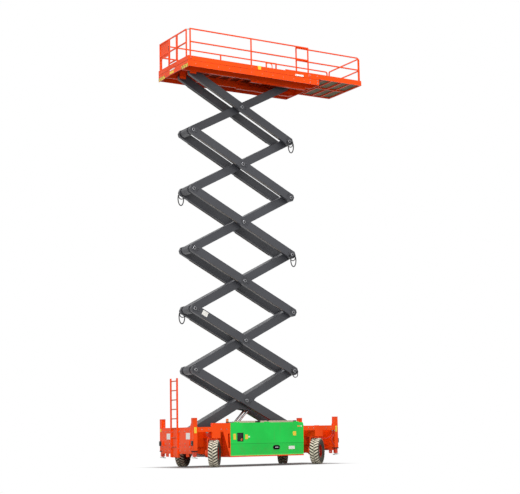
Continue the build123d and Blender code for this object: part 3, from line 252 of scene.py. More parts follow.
sky_strength = plain_light(sky) * (1 - SKY_LEVEL) + SKY_LEVEL
sky_light = sky.node("ShaderNodeBackground", None, {"Color": (1, 1, 1, 1), "Strength": sky_strength})
bpy.context.scene.world = sky.close(sky_light, "ShaderNodeOutputWorld")


def lamp(name, place, target, size, power):
    """Square area lamp at place, facing target."""
    light = bpy.data.lights.new(name, "AREA")
    light.size = size
    light.energy = power
    holder = bpy.data.objects.new(name, light)
    bpy.context.collection.objects.link(holder)
    holder.location = place
    holder.rotation_euler = (Vector(target) - Vector(place)).to_track_quat("-Z", "Y").to_euler()


lamp("key_lamp", (-5, -8, 34), (0, 0, 0), 10, KEY_POWER)
lamp("front_lamp", (-30, -30, 16), (0, 0, 7), 16, FRONT_POWER)

camera_data = bpy.data.cameras.new("camera")
camera_data.lens = LENS
camera_data.sensor_width = 36.0
camera_data.clip_end = 500.0
camera = bpy.data.objects.new("camera", camera_data)
bpy.context.collection.objects.link(camera)
camera.matrix_world = (Matrix.Translation(CAMERA_PLACE) @ Matrix.Rotation(-radians(CAMERA_AZIMUTH), 4, "Z")
                       @ Matrix.Rotation(radians(90 + CAMERA_TILT), 4, "X")
                       @ Matrix.Rotation(-radians(CAMERA_ROLL), 4, "Z"))
bpy.context.scene.camera = camera
bpy.context.scene.view_settings.view_transform = "Standard"

# ---- Orange steelwork: chassis, steering knuckles, ladder, deck and rails ----
# Welded plate and box section sprayed with orange enamel; low on the chassis, what faces down is darkened to
# red as painted shade, and the plates are duller where boots and straps have rubbed them.
ORANGE = linear(255, 78, 8)
ORANGE_WORN = linear(206, 60, 14)
ORANGE_GLOSS = 0.2
UNDERSIDE_SHADE_RED = linear(96, 18, 12)
BELLY_TOP = 0.6
DIRT = linear(120, 92, 70)
DUST = linear(196, 176, 150)


class Enamel(Finish):
    """Sprayed enamel: tone mottled between colour and worn, runs of dirt down the walls, dirt below high that
    is full at low, dust on what faces up. coat() lays another colour over it."""

    def __init__(self, name, colour, worn, dirt=DIRT, dust=DUST, low=0.25, high=0.9):
        super().__init__(name)
        self.up = self.facing_up()
        mottle = self.noise(1.3, 4.0).ramp(0.35, 0.75)
        self.tone = self.mix(mottle * 0.35, colour, worn)
        runs = self.noise(1.0, 3.0, (9.0, 9.0, 0.8)).ramp(0.52, 0.8)
        splash = (1 - self.z.ramp(low, high)) * self.noise(7.0, 4.0).ramp(0.35, 0.7)
        self.coat(runs * 0.14 + splash * 0.22, dirt)
        settled = self.up.ramp(0.6, 0.95) * self.noise(3.0, 4.0).ramp(0.3, 0.7)
        self.coat(settled * 0.3, dust)
        scuffs = self.noise(60.0, 3.0).ramp(0.66, 0.72)
        self.coat(scuffs * 0.35, worn)
        self.roughness = 0.34 + mottle * 0.1 + settled * 0.25 + splash * 0.2
        self.normal = self.bump(self.noise(190.0, 2.0) + scuffs * 0.5, 0.0006, 0.35)

    def coat(self, share, colour):
        self.tone = self.mix(share, self.tone, colour)

    def surface(self, **sockets):
        """The enamel as it stands, with any other sockets."""
        return super().surface(Base_Color=self.tone, Roughness=self.roughness, Normal=self.normal, **sockets)


def dress(finish, *names):
    """Gives the finish to CAD nodes."""
    for name in names:
        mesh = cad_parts[name].data
        mesh.materials.clear()
        mesh.materials.append(finish)


CORNERS = ("ladder_near", "drive_near", "ladder_far", "drive_far")
steelwork = Enamel("orange_steelwork", ORANGE, ORANGE_WORN)
# Painted shade: faces that look down, low on the chassis, darkened to red.
steelwork.coat((steelwork.up < -0.5) * steelwork.z.between(0.0, BELLY_TOP) * 0.55, UNDERSIDE_SHADE_RED)
dress(steelwork.surface(Specular_IOR_Level=ORANGE_GLOSS), "chassis_frame", "ladder", "guard_rails", "gate",
      "extension_rails", *[f"knuckle_{corner}" for corner in CORNERS])

# Jack posts: the same enamel, with a black rubber wiper round the mouth.
RUBBER_BLACK = linear(24, 24, 25)
WIPER_TOP = 0.5304
posts = Enamel("jack_post_steel", ORANGE, ORANGE_WORN)
wiper = posts.z < WIPER_TOP
posts.coat(wiper, RUBBER_BLACK)
posts.roughness += wiper * 0.3
dress(posts.surface(Specular_IOR_Level=ORANGE_GLOSS), "jack_posts")

# ---- Green housings and doors ----
# Pressed sheet doors and boxes in bright green enamel, creased along the middle, with a dark line of painted
# shade in the crease and a pale painted highlight along the lower lip.
# The near door has a black switch panel sunk in it, with a red stop button; the tray on the near housing is
# bare tread plate, and the ladder-end faces of the housings are orange.
GREEN = linear(28, 214, 80)
GREEN_WORN = linear(20, 168, 56)
CREASE_SHADE_GREEN = linear(14, 92, 36)
LIP_HIGHLIGHT_GREEN = linear(120, 240, 120)
END_ORANGE = linear(228, 64, 12)
PANEL_BLACK = linear(26, 26, 28)
STOP_RED = linear(215, 22, 16)
TRAY_GREY = linear(150, 146, 146)
PANEL_LOW, PANEL_HIGH = (-1.915, -1.2068, 0.7995), (-1.699, -1.17, 1.0605)
TRAY_LOW, TRAY_HIGH = (-1.96, -1.101, 1.3856), (0.40, -0.719, 1.45)
BUTTON_X, BUTTON_Z, BUTTON_RADIUS = -1.7475, 0.848, 0.0245
CREASE_Z = 0.7185
LIP_TOP = 0.372
DOOR_FROM = 1.18
HOUSING_END_X = -2.1625
HOUSING_HALF_WIDTH = 1.166


def inside(finish, low, high):
    """1 inside the upright box between two corners, 0 outside."""
    x, y, z = (value.between(*ends) for value, *ends in zip((finish.x, finish.y, finish.z), low, high))
    return x * y * z


housings = Enamel("green_panels", GREEN, GREEN_WORN)
sunk = inside(housings, PANEL_LOW, PANEL_HIGH)
button = sunk * ((housings.x - BUTTON_X) ** 2 + (housings.z - BUTTON_Z) ** 2 < BUTTON_RADIUS ** 2)
on_door = abs(housings.y) > DOOR_FROM
# Painted shade along the door's crease, and a painted highlight along its lower lip.
crease_shade = 1 - abs(housings.z - CREASE_Z).ramp(0.004, 0.009)
housings.coat(crease_shade * on_door * 0.6, CREASE_SHADE_GREEN)
housings.coat((housings.z < LIP_TOP) * on_door * 0.7, LIP_HIGHLIGHT_GREEN)
housings.coat((housings.x < HOUSING_END_X) * (abs(housings.y) < HOUSING_HALF_WIDTH), END_ORANGE)
housings.coat(sunk, PANEL_BLACK)
housings.coat(button, STOP_RED)
housings.coat(inside(housings, TRAY_LOW, TRAY_HIGH), TRAY_GREY)
dress(housings.surface(Specular_IOR_Level=0.3), "housing_near", "housing_far", "door_near", "door_far")

# ---- Scissor arms ----
# Long box-section arms in slate grey enamel. The pin ends are machined steel rings round hollow pins, greased
# and darkened at the joints, with the pins' bores painted black as shade; what lies along the outer arms'
# faces is black rubber hose.
ARM_GREY = linear(66, 67, 72)
ARM_WORN = linear(50, 50, 54)
ARM_DIRT = linear(58, 52, 48)
ARM_DUST = linear(120, 118, 116)
GREASE = linear(34, 32, 32)
MACHINED_GREY = linear(88, 89, 93)
BORE_SHADE_BLACK = linear(14, 14, 15)
HOSE_BLACK = linear(24, 24, 26)
RISE = 1.983
SPAN = 3.786
ARM_ANGLE = atan2(RISE, SPAN)
FIXED_X = -2.9745
SLIDING_X = 0.8115
MIDDLE_X = (FIXED_X + SLIDING_X) / 2
BASE_Z = 1.120
ARM_SIDE = 0.4262
RING_RADIUS, BORE_RADIUS, HOSES_FROM = 0.0625, 0.0202, 0.0705
SECTIONS = range(1, 7)


def from_nearest(value):
    """Distance to the nearest whole number."""
    return abs(value - round(value))


arms = Enamel("arm_steel", ARM_GREY, ARM_WORN, ARM_DIRT, ARM_DUST)
level = (arms.z - BASE_Z) / RISE
across = abs(arms.x - MIDDLE_X)
end_pin = (abs(across - SPAN / 2) ** 2 + (from_nearest(level) * RISE) ** 2) ** 0.5
middle_pin = (across ** 2 + (from_nearest(level - 0.5) * RISE) ** 2) ** 0.5
to_pin = end_pin.smaller(middle_pin)
grease = (1 - to_pin.ramp(0.07, 0.24)) * arms.noise(18.0, 4.0).ramp(0.4, 0.65)
outside = abs(arms.y) > ARM_SIDE
machined = outside * to_pin.between(0.0, RING_RADIUS)
arms.coat(grease * 0.55, GREASE)
arms.coat(machined, MACHINED_GREY)
# Painted shade: black inside the pin bores.
arms.coat(machined * (to_pin < BORE_RADIUS), BORE_SHADE_BLACK)
arms.coat(outside * (to_pin > HOSES_FROM), HOSE_BLACK)
arms.roughness += grease * 0.1
dress(arms.surface(Metallic=machined * 0.4), *[f"inner_arm_{section}" for section in SECTIONS],
      *[f"outer_arms_{section}" for section in SECTIONS])

# ---- Lift cylinders ----
# Black enamelled barrels and hard-chromed rods, filmed with oil.
barrels = Enamel("barrel_enamel", linear(30, 29, 31), linear(46, 44, 44), linear(80, 66, 58))
dress(barrels.surface(), "lift_barrels")
rods = Finish("rod_chrome")
film = rods.noise(5.0, 3.0, (1.0, 1.0, 6.0)).ramp(0.4, 0.7)
tone = rods.mix(film, linear(205, 205, 210), linear(168, 150, 150))
dress(rods.surface(Base_Color=tone, Metallic=1.0, Roughness=0.12 + film * 0.12), "lift_rods")

# ---- Wheels: rims ----
# Pressed steel rims in dull red enamel, dirtier towards the ground.
rims = Enamel("rim_enamel", linear(196, 40, 26), linear(150, 34, 24), low=0.2, high=0.8)
dress(rims.surface(), *[f"rim_{corner}" for corner in CORNERS])

# ---- Levelling jack legs ----
# Box legs in orange enamel that slide in the posts, with a galvanised foot on a ball.
FOOT_TOP = 0.3452
legs = Enamel("jack_leg", linear(226, 62, 30), linear(190, 52, 26))
foot = legs.z < FOOT_TOP
legs.coat(foot, legs.mottle(30.0, linear(206, 204, 198), linear(166, 162, 156), 3.0))
legs.roughness += foot * 0.1
dress(legs.surface(Metallic=foot * 0.5), *[f"jack_leg_{corner}" for corner in CORNERS])

# ---- Beacon ----
# Amber lens, moulded with fine ribs, on a black rubber foot.
LENS_FOOT = 1.4092
lens = Finish("beacon_lens")
base = lens.z < LENS_FOOT
tone = lens.mix(lens.noise(12.0).ramp(0.4, 0.7), linear(236, 138, 26), linear(214, 104, 16))
tone = lens.mix(base, tone, RUBBER_BLACK)
ribs = (lens.z * 900.0).sine()
dress(lens.surface(Base_Color=tone, Roughness=0.18 + base * 0.5, Coat_Weight=0.6,
                   Normal=lens.bump(ribs * (1 - base), 0.0012, 0.6)), "beacon")

# ---- Engine ----
# One plain cast block, oily and matt.
engine = Finish("engine_casting")
oil = engine.noise(6.0, 4.0).ramp(0.45, 0.65)
tone = engine.mix(oil, linear(118, 120, 124), linear(60, 54, 48))
engine_finish = engine.surface(Base_Color=tone, Roughness=0.6 - oil * 0.25, Metallic=0.3,
                               Normal=engine.bump(engine.noise(260.0, 3.0), 0.0012, 0.6))
dress(engine_finish, "engine_block")

# ---- Platform deck and extension ----
# Orange framed decks. The floors are grey anti-slip plate; from below, the extension's is brown-grey sheet
# between ribs, and the deck's is dark brown-grey sheet. Painted shade darkens what faces down: the ribs and
# joists to red, the deck's sheet to near black-brown. The deck's floor plate is let into its frame along a
# groove painted dark as shade.
FLOOR_Z = 13.221
EXTENSION_Z = 13.282
PLATE_GREY, PLATE_DARK = linear(126, 122, 116), linear(96, 90, 84)
SHEET_LIGHT, SHEET_DARK = linear(128, 124, 98), linear(96, 92, 74)
SEAM_SHADE_BROWN = linear(70, 14, 6)
JOIST_SHADE_RED = linear(150, 20, 8)
CEILING_SHEET_AND_SHADE_BROWN = linear(46, 20, 14)
RIB_SHADE_RED = linear(150, 26, 12)
TREAD_PITCH = 0.05
CEILING_LOW, CEILING_HIGH = 13.205, 13.22
DECK_END_SEAM = (-3.487, -3.47)
DECK_SIDE_SEAM = (1.060, 1.0715)
SEAM_HEIGHTS = (13.178, 13.189)
SHEET_HEIGHTS = (13.2755, 13.2765)


def tread_plate(x, y, pitch):
    """Raised lozenges of floor plate: two crossed sets of short bars, by sines of x + y and x - y."""
    turns = 2 * pi / pitch
    first = ((x + y) * turns).sine().ramp(0.72, 0.95) * ((x - y) * 0.5 * turns).sine().ramp(0.1, 0.4)
    second = (((x - y + pitch / 2) * turns).sine().ramp(0.72, 0.95)
              * (((x + y) * 0.5 + pitch / 2) * turns).sine().ramp(0.1, 0.4))
    return first.larger(second)


def lay_floor(deck, height, depth, half_width):
    """Lays grey tread plate over a deck's enamel on what faces up near that height. Returns where it lies."""
    plate = deck.z.between(height - depth, height + depth) * (deck.up > 0.5) * (abs(deck.y) < half_width)
    deck.coat(plate, deck.mottle(4.0, PLATE_GREY, PLATE_DARK))
    deck.normal = deck.bump(tread_plate(deck.x, deck.y, TREAD_PITCH) * plate, 0.003, 0.8, deck.normal)
    return plate


deck = Enamel("deck_steel", ORANGE, ORANGE_WORN)
plate = lay_floor(deck, FLOOR_Z, 0.004, 1.0615)
seam = abs(deck.y).between(*DECK_SIDE_SEAM) + deck.x.between(*DECK_END_SEAM)
underside = deck.up < -0.5
# Painted shade: the seam groove dark, the joists red, the floor's underside near black-brown.
deck.coat(deck.z.between(*SEAM_HEIGHTS) * seam.smaller(1), SEAM_SHADE_BROWN)
deck.coat(underside * (deck.z < CEILING_LOW) * 0.55, JOIST_SHADE_RED)
deck.coat(underside * deck.z.between(CEILING_LOW, CEILING_HIGH) * 0.85, CEILING_SHEET_AND_SHADE_BROWN)
deck.roughness += plate * 0.15
dress(deck.surface(Specular_IOR_Level=ORANGE_GLOSS), "platform_deck")

extension = Enamel("extension_steel", ORANGE, ORANGE_WORN)
plate = lay_floor(extension, EXTENSION_Z, 0.003, 1.004)
underside = extension.up < -0.5
sheet = extension.z.between(*SHEET_HEIGHTS) * underside
# Painted shade: the ribs' downward faces tinted red.
extension.coat(underside * (1 - sheet) * 0.4, RIB_SHADE_RED)
extension.coat(sheet, extension.mottle(2.5, SHEET_LIGHT, SHEET_DARK))
extension.roughness += sheet * 0.3 + plate * 0.15
dress(extension.surface(Specular_IOR_Level=ORANGE_GLOSS), "extension_deck")

# ---- Tyres ----
# Rubber tyres for soft ground: a round carcass with 26 slanted bars a side that meet in a V, pale on the
# bars' tops and along the middle, and dark between. Each is one closed skin that stands for its CAD solid.
BAR_COUNT = 26
BAR_DEPTH = 0.022
BAR_SLANT = 0.215
SLANT_REACH = 0.15
MIDDLE_BAND = 0.016
# The side that each wheel is on, and its steered angle in degrees.
STEERED = {"ladder_near": (-1, 51.5), "drive_near": (-1, 39.5),
           "ladder_far": (1, 43.0), "drive_far": (1, 51.5)}
# Half of the cross-section from the middle out: distance from the middle, radius, share of the bar height.
HALF_SECTION = np.array([
    (0.008, 0.4050, 0.0), (0.014, 0.4050, 0.0), (0.018, 0.4050, 1.0), (0.060, 0.4050, 1.0),
    (0.105, 0.4035, 1.0), (0.128, 0.4000, 1.0), (0.141, 0.3905, 1.0), (0.150, 0.3740, 0.55),
    (0.1535, 0.3600, 0.12), (0.1545, 0.3470, 0.0), (0.1550, 0.3280, 0.0), (0.1535, 0.3020, 0.0),
    (0.1480, 0.2740, 0.0), (0.1370, 0.2480, 0.0), (0.1250, 0.2300, 0.0), (0.1120, 0.2180, 0.0),
    (0.1060, 0.2165, 0.0), (0.0700, 0.2165, 0.0), (0.0300, 0.2165, 0.0)])


def tyre_skin(centre, out):
    """Cross-section carried round the axle. Each ring of stations is turned by the bar slant times its
    distance from the middle, so that the bar sides follow the grid, and one half is shifted by half a pitch.
    Returns the points and how pale each is: its share of the bar height, and no less than 0.45 along the
    middle band."""
    section = np.vstack((HALF_SECTION, HALF_SECTION[::-1] * (-1, 1, 1)))
    offset, radius, share = section.T
    # Six stations a pitch: floor, rise, top, top, fall, floor.
    steps = np.array((0.0, 0.06, 0.28, 0.50, 0.56, 0.80))
    raised = np.array((0.0, 1.0, 1.0, 1.0, 0.0, 0.0))
    pitch = 2 * pi / BAR_COUNT
    round_angle = (np.arange(BAR_COUNT)[:, None] * pitch + steps * pitch).reshape(-1)
    height = np.tile(raised, BAR_COUNT)
    slant = BAR_SLANT * np.minimum(abs(offset) / SLANT_REACH, 1.0) + np.where(offset > 0, 0.0, pitch / 2)
    angle = round_angle[:, None] + slant
    reach = radius + BAR_DEPTH * height[:, None] * share
    forward = np.array((out[1], -out[0], 0.0))
    points = (np.array(centre) + offset[:, None] * np.array(out)
              + (reach * np.cos(angle))[..., None] * forward
              + (reach * np.sin(angle))[..., None] * np.array((0.0, 0.0, 1.0)))
    worn = height[:, None] * share
    middle_band = np.broadcast_to(np.abs(offset) < MIDDLE_BAND, worn.shape) * 0.45
    return points, np.maximum(worn, middle_band)


def skin(name, finish, points, faces, sharp):
    """One object at the origin out of points and faces, smooth but for edges over sharp degrees."""
    mesh = bpy.data.meshes.new(name)
    mesh.from_pydata(points.tolist(), [], faces)
    mesh.polygons.foreach_set("use_smooth", np.ones(len(mesh.polygons), bool))
    mesh.set_sharp_from_angle(angle=radians(sharp))
    mesh.materials.append(finish)
    made = bpy.data.objects.new(name, mesh)
    bpy.context.collection.objects.link(made)
    return made


rubber = Finish("tyre_rubber")
# Pale where the mesh's 'worn' value is high: the bar tops and the middle band.
worn = rubber.node("ShaderNodeAttribute", {"attribute_name": "worn"}, None, "Fac")
cake = rubber.noise(22.0, 4.0).ramp(0.3, 0.62)
tone = rubber.mix(cake * 0.45, linear(48, 48, 42), linear(104, 99, 84))
tone = rubber.mix(worn * (0.72 + cake * 0.28), tone, linear(226, 218, 196))
rubber_finish = rubber.surface(Base_Color=tone, Roughness=0.92,
                               Normal=rubber.bump(rubber.noise(120.0, 3.0), 0.002, 0.5))
wheel_places = {}
for corner, (side, angle) in STEERED.items():
    low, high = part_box(f"tyre_{corner}")
    centre = tuple((low + high) / 2)
    out = (-side * sin(radians(angle)), side * cos(radians(angle)), 0.0)
    wheel_places[corner] = (np.array(centre), np.array(out))
    points, tones = tyre_skin(centre, out)
    index = np.arange(tones.size).reshape(tones.shape)
    ahead = np.roll(index, -1, axis=0)
    faces = np.stack((index, np.roll(index, -1, axis=1), np.roll(ahead, -1, axis=1), ahead), -1)
    tyre = skin(f"tread_{corner}", rubber_finish, points.reshape(-1, 3),
                faces.reshape(-1, 4)[:, ::-1].tolist(), 35)
    wear = tyre.data.attributes.new("worn", "FLOAT", "POINT")
    wear.data.foreach_set("value", tones.reshape(-1).astype(np.float32))
    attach(tyre, f"wheel_{corner}")
    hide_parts(f"tyre_{corner}")

# ---- Wheel hubs and nuts ----
# Ten zinc-plated wheel nuts on washers hold each rim; six smaller bolts close the hub's end cover.
UP = np.array((0, 0, 1.0))
# How many, on what radius, how far out from the wheel's middle, and how wide across the flats.
WHEEL_FASTENERS = ((10, 0.142, 0.0142, 0.034), (6, 0.052, 0.0742, 0.018))


def unit(vector):
    return np.array(vector, float) / np.linalg.norm(vector)


def turned(profile, foot, axis, sides=24):
    """Turned surface: each (height, radius) of the profile carried round the axis that starts at foot."""
    axis = unit(axis)
    first = unit(np.cross(axis, (1, 0, 0) if abs(axis[0]) < 0.7 else (0, 0, 1)))
    second = np.cross(axis, first)
    height, radius = np.array(profile, float).T
    angle = np.linspace(0, 2 * pi, sides, endpoint=False)
    ring = np.cos(angle)[:, None] * first + np.sin(angle)[:, None] * second
    return np.array(foot, float) + height[:, None, None] * axis + radius[:, None, None] * ring


def joined(grids):
    """Points and faces of capped grids put together. Each grid is rows of points closed round its columns;
    its two end rows are closed by a face, and it is turned over where its volume comes out negative."""
    points, faces, start = [], [], 0
    for grid in grids:
        rows, columns = grid.shape[:2]
        index = np.arange(rows * columns).reshape(rows, columns)
        ahead = np.roll(index, -1, axis=1)
        quads = np.stack((index[:-1], ahead[:-1], ahead[1:], index[1:]), -1).reshape(-1, 4)
        flat = grid.reshape(-1, 3) - grid.reshape(-1, 3).mean(0)
        a, b, c, d = (flat[quads[:, side]] for side in range(4))
        volume = np.sum(np.cross(c - a, d - b) * (a + b + c + d)) / 8
        for row, sign in ((0, -1), (rows - 1, 1)):
            loop = flat[index[row]]
            volume += sign * np.sum(np.cross(loop, np.roll(loop, -1, axis=0)).sum(0) * loop.mean(0)) / 2
        caps = [index[0][::-1], index[-1]]
        if volume < 0:
            quads = quads[:, ::-1]
            caps = [cap[::-1] for cap in caps]
        faces += (quads + start).tolist() + [(cap + start).tolist() for cap in caps]
        points.append(grid.reshape(-1, 3))
        start += rows * columns
    return np.vstack(points), faces


def piece(name, body, finish, grids, sharp=32):
    """One object out of closed grids, riding on the body."""
    points, faces = joined(grids)
    made = skin(name, finish, points, faces, sharp)
    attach(made, body)


def bolt(foot, axis, across=0.024, height=0.012):
    """Hexagon head on a washer: two turned surfaces, the head with six sides."""
    head = turned(((0.002, across / 2), (height * 0.8, across / 2), (height, across * 0.42)), foot, axis, 6)
    washer = turned(((0, across * 0.72), (0.003, across * 0.72)), foot, axis, 16)
    return [head, washer]


def bolts_at(spots, axis, across, height):
    """Bolts of one size and direction at several spots."""
    return [grid for spot in spots for grid in bolt(spot, axis, across, height)]


def plain_metal(name, light, dark, roughness=0.35, metallic=0.85):
    """Bare or plated metal: tone mottled between light and dark, with fine brushed scratches."""
    finish = Finish(name)
    stain = finish.noise(14.0, 4.0).ramp(0.35, 0.7)
    grain = finish.noise(40.0, 2.0, (1.0, 1.0, 14.0))
    tone = finish.mix(stain, light, dark)
    return finish.surface(Base_Color=tone, Metallic=metallic, Roughness=roughness + stain * 0.2,
                          Normal=finish.bump(grain, 0.0005, 0.4))


zinc = plain_metal("zinc_plate", linear(176, 174, 168), linear(128, 124, 116))
for corner, (centre, out) in wheel_places.items():
    forward = np.array((out[1], -out[0], 0.0))
    nuts = []
    for count, circle, lift, across in WHEEL_FASTENERS:
        for turn in np.arange(count) * 2 * pi / count:
            spot = centre + lift * out + circle * (cos(turn) * forward + sin(turn) * UP)
            nuts += bolt(spot, out, across, across * 0.6)
    piece(f"wheel_nuts_{corner}", f"wheel_{corner}", zinc, nuts)

# ---- Blank plates ----
# Thin enamelled plates with nothing on them, white, yellow or amber, with round corners. The larger ones are
# held by a rivet at each corner, and the smaller ones are glued.
PLATE_YELLOW = linear(246, 206, 40)
PLATE_THICKNESS = 0.0025
RIVETED_FROM = 0.07
RIVET_INSET = 0.014
END_X = -3.4895


def slab(foot, across, up, size, thickness, corner=0.006, chamfer=0.001):
    """Plate with round corners: a rounded rectangle in the plane of across and up, carried through its
    thickness along across x up from foot, the middle of its back, and drawn in by the chamfer at both
    faces."""
    across, up = unit(across), unit(up)
    out = np.cross(across, up)
    corner = max(corner, chamfer * 1.05)
    quarter = np.repeat(np.arange(4), 5)
    angle = quarter * pi / 2 + np.tile(np.linspace(0, pi / 2, 5), 4)
    sides = np.stack((np.cos(quarter * pi / 2 + pi / 4), np.sin(quarter * pi / 2 + pi / 4)), -1) * 2 ** 0.5
    middles = sides * (np.array(size) / 2 - corner)
    rows = []
    for lift, inset in ((0, chamfer), (chamfer, 0), (thickness - chamfer, 0), (thickness, chamfer)):
        flat = middles + (corner - inset) * np.stack((np.cos(angle), np.sin(angle)), -1)
        rows.append(np.array(foot, float) + flat[:, :1] * across + flat[:, 1:] * up + lift * out)
    return np.array(rows)


def block(low, high, corner=0.004, chamfer=0.003):
    """Upright block between two corners, its upright edges rounded and its top and bottom chamfered."""
    low, high = np.minimum(low, high).astype(float), np.maximum(low, high).astype(float)
    middle = (low + high) / 2
    size = high - low
    return slab((middle[0], middle[1], low[2]), (1, 0, 0), (0, 1, 0), size[:2], size[2], corner, chamfer)


def sticker(name, colour):
    """Enamelled plate: colour with faint stains."""
    finish = Finish(name)
    stain = finish.noise(25.0, 4.0).ramp(0.42, 0.75)
    tone = finish.mix(stain * 0.35, colour, linear(170, 160, 140))
    return finish.surface(Base_Color=tone, Roughness=0.4 + stain * 0.2)


white_plate = sticker("white_plate", linear(238, 236, 230))
yellow_plate = sticker("yellow_plate", PLATE_YELLOW)
# Across and up of a plate on a face that looks to the ladder end, the near side and the far side.
WEST = ((0, -1, 0), (0, 0, 1))
NEAR = ((1, 0, 0), (0, 0, 1))
FAR = ((-1, 0, 0), (0, 0, 1))


def plates(name, body, finish, spots, facing):
    """Plates at (x, y, z, width, height), standing on the faces there, the larger ones with rivets."""
    grids = []
    across, up = np.array(facing)
    out = np.cross(across, up)
    for x, y, z, width, height in spots:
        grids.append(slab((x, y, z), across, up, (width, height), PLATE_THICKNESS))
        if min(width, height) > RIVETED_FROM:
            for i in (-1, 1):
                for j in (-1, 1):
                    spot = (np.array((x, y, z)) + i * (width / 2 - RIVET_INSET) * across
                            + j * (height / 2 - RIVET_INSET) * up + out * PLATE_THICKNESS)
                    grids.append(turned(((0, 0.005), (0.002, 0.004)), spot, out, 8))
    piece(name, body, finish, grids)


plates("end_plates_white", "chassis", white_plate,
       [(END_X, 0.520, 0.990, 0.260, 0.190), (END_X, -0.820, 0.990, 0.270, 0.200)], WEST)
plates("end_plates_yellow", "chassis", yellow_plate, [(-3.4797, 1.090, 1.190, 0.085, 0.10)], WEST)
plates("post_plates_yellow", "chassis", yellow_plate,
       [(-3.4045, -1.162, 1.170, 0.095, 0.19), (1.9405, -1.162, 1.150, 0.075, 0.20)], NEAR)
DOOR_Y = -1.2071
plates("door_plates_yellow_near", "door_near", yellow_plate,
       [(-2.015, DOOR_Y, 0.945, 0.095, 0.185), (-1.575, DOOR_Y, 0.935, 0.095, 0.145),
        (0.250, DOOR_Y, 1.020, 0.125, 0.135)], NEAR)
plates("door_plates_white_near", "door_near", white_plate,
       [(-1.485, DOOR_Y, 0.935, 0.055, 0.050), (0.135, DOOR_Y + 0.0085, 0.590, 0.235, 0.150),
        (0.515, DOOR_Y, 1.255, 0.045, 0.040)], NEAR)
plates("door_plate_amber_near", "door_near", sticker("amber_plate", linear(232, 150, 40)),
       [(0.415, DOOR_Y, 1.255, 0.095, 0.040)], NEAR)

# ---- Door latches, seals and hinges ----
# A black moulded cup set in the lower panel of each door, with a chromed paddle and a round lock in it. A
# rubber seal runs along the top and bottom of the door, and pairs of bolts hold its three hinges.
LATCH_X, LATCH_Y, LATCH_Z = -0.455, 1.1995, 0.585


def moulding(name, colour, roughness=0.45):
    """Moulded plastic or rubber: even tone with a fine grain and pale scuffs."""
    finish = Finish(name)
    scuff = finish.noise(35.0, 4.0).ramp(0.55, 0.75)
    tone = finish.mix(scuff * 0.3, colour, linear(120, 116, 110))
    return finish.surface(Base_Color=tone, Roughness=roughness + scuff * 0.2,
                          Normal=finish.bump(finish.noise(420.0), 0.0004, 0.5))


black_moulding = moulding("black_moulding", linear(20, 20, 21))
bright_steel = plain_metal("bright_steel", linear(200, 200, 204), linear(160, 160, 164), 0.22, 0.9)
for hand, side, facing in (("near", -1, NEAR), ("far", 1, FAR)):
    spot = np.array((LATCH_X, side * LATCH_Y, LATCH_Z))
    out = np.array((0.0, side, 0.0))
    cup = slab(spot, *facing, (0.250, 0.125), 0.010, 0.062, 0.003)
    lip = slab(spot + out * 0.004, *facing, (0.270, 0.145), 0.006, 0.072, 0.0025)
    piece(f"latch_cup_{hand}", f"door_{hand}", black_moulding, [cup, lip])
    paddle = slab(spot + out * 0.009, *facing, (0.110, 0.030), 0.006, 0.012, 0.002)
    lock = turned(((0, 0.011), (0.005, 0.011), (0.006, 0.009)),
                  spot + out * 0.010 + 0.085 * np.array(facing[0]), out, 16)
    piece(f"latch_paddle_{hand}", f"door_{hand}", bright_steel, [paddle, lock])
    seal = [block((-2.1635, side * 1.1600, z - 0.005), (0.5995, side * 1.1668, z + 0.005), 0.003, 0.001)
            for z in (0.350, 1.372)]
    piece(f"door_seal_{hand}", f"door_{hand}", black_moulding, seal)
    spots = [(x + step, side * 1.183, 1.3892) for x in (-1.9135, -0.782, 0.3495) for step in (-0.018, 0.018)]
    piece(f"hinge_bolts_{hand}", f"door_{hand}", zinc, bolts_at(spots, UP, 0.011, 0.006))

# ---- Switch panel in the near door ----
# A sunk panel in a raised black frame, with four rubber-booted toggles, two large and two small dials and a
# round turn switch, beside the red stop button on its yellow collar.
PANEL_Y = -1.1890
FRAME_WIDTH = 0.008
# Middle (x, z) and radius of each dial.
DIALS = ((-1.870, 1.005, 0.024), (-1.805, 1.005, 0.024), (-1.745, 1.010, 0.012), (-1.745, 0.975, 0.012))


def on_panel(profile, x, z, sides, y=PANEL_Y):
    """Turned surface that stands out from the panel at (x, z)."""
    return turned(profile, (x, y, z), (0, -1, 0), sides)


boots = [on_panel(((0, 0.010), (0.006, 0.008), (0.012, 0.004), (0.014, 0.001)), x, 0.905, 14)
         for x in (-1.885, -1.855, -1.825, -1.795)]
bezels = [on_panel(((0, radius), (0.004, radius), (0.005, radius * 0.85)), x, z, 20)
          for x, z, radius in DIALS]
bezels.append(on_panel(((0, 0.014), (0.007, 0.014), (0.009, 0.012)), -1.870, 0.855, 18))
glasses = [on_panel(((0.005, radius * 0.8), (0.0062, radius * 0.6), (0.0068, radius * 0.2)), x, z, 20)
           for x, z, radius in DIALS]
piece("switch_bezels", "door_near", black_moulding, bezels)
piece("switch_boots", "door_near", black_moulding, boots)
piece("gauge_faces", "door_near", moulding("gauge_glass", linear(46, 48, 52), 0.12), glasses)
frame_bars = [((-1.9225, z), (-1.6915, z + FRAME_WIDTH)) for z in (1.060, 0.792)]
frame_bars += [((x, 0.792), (x + FRAME_WIDTH, 1.068)) for x in (-1.9225, -1.6995)]
piece("panel_frame", "door_near", black_moulding,
      [block((x0, -1.2069, z0), (x1, -1.2105, z1), 0.002, 0.0012) for (x0, z0), (x1, z1) in frame_bars])
button = on_panel(((0, 0.0243), (0.004, 0.0243), (0.008, 0.020), (0.0105, 0.011), (0.011, 0.002)),
                  BUTTON_X, BUTTON_Z, 24, -1.2032)
piece("stop_button", "door_near", moulding("stop_red", linear(206, 26, 20), 0.3), [button])
collar = on_panel(((0, 0.034), (0.0015, 0.034)), BUTTON_X, BUTTON_Z, 28, PANEL_Y - 0.0002)
piece("stop_collar", "door_near", sticker("collar_yellow", PLATE_YELLOW), [collar])

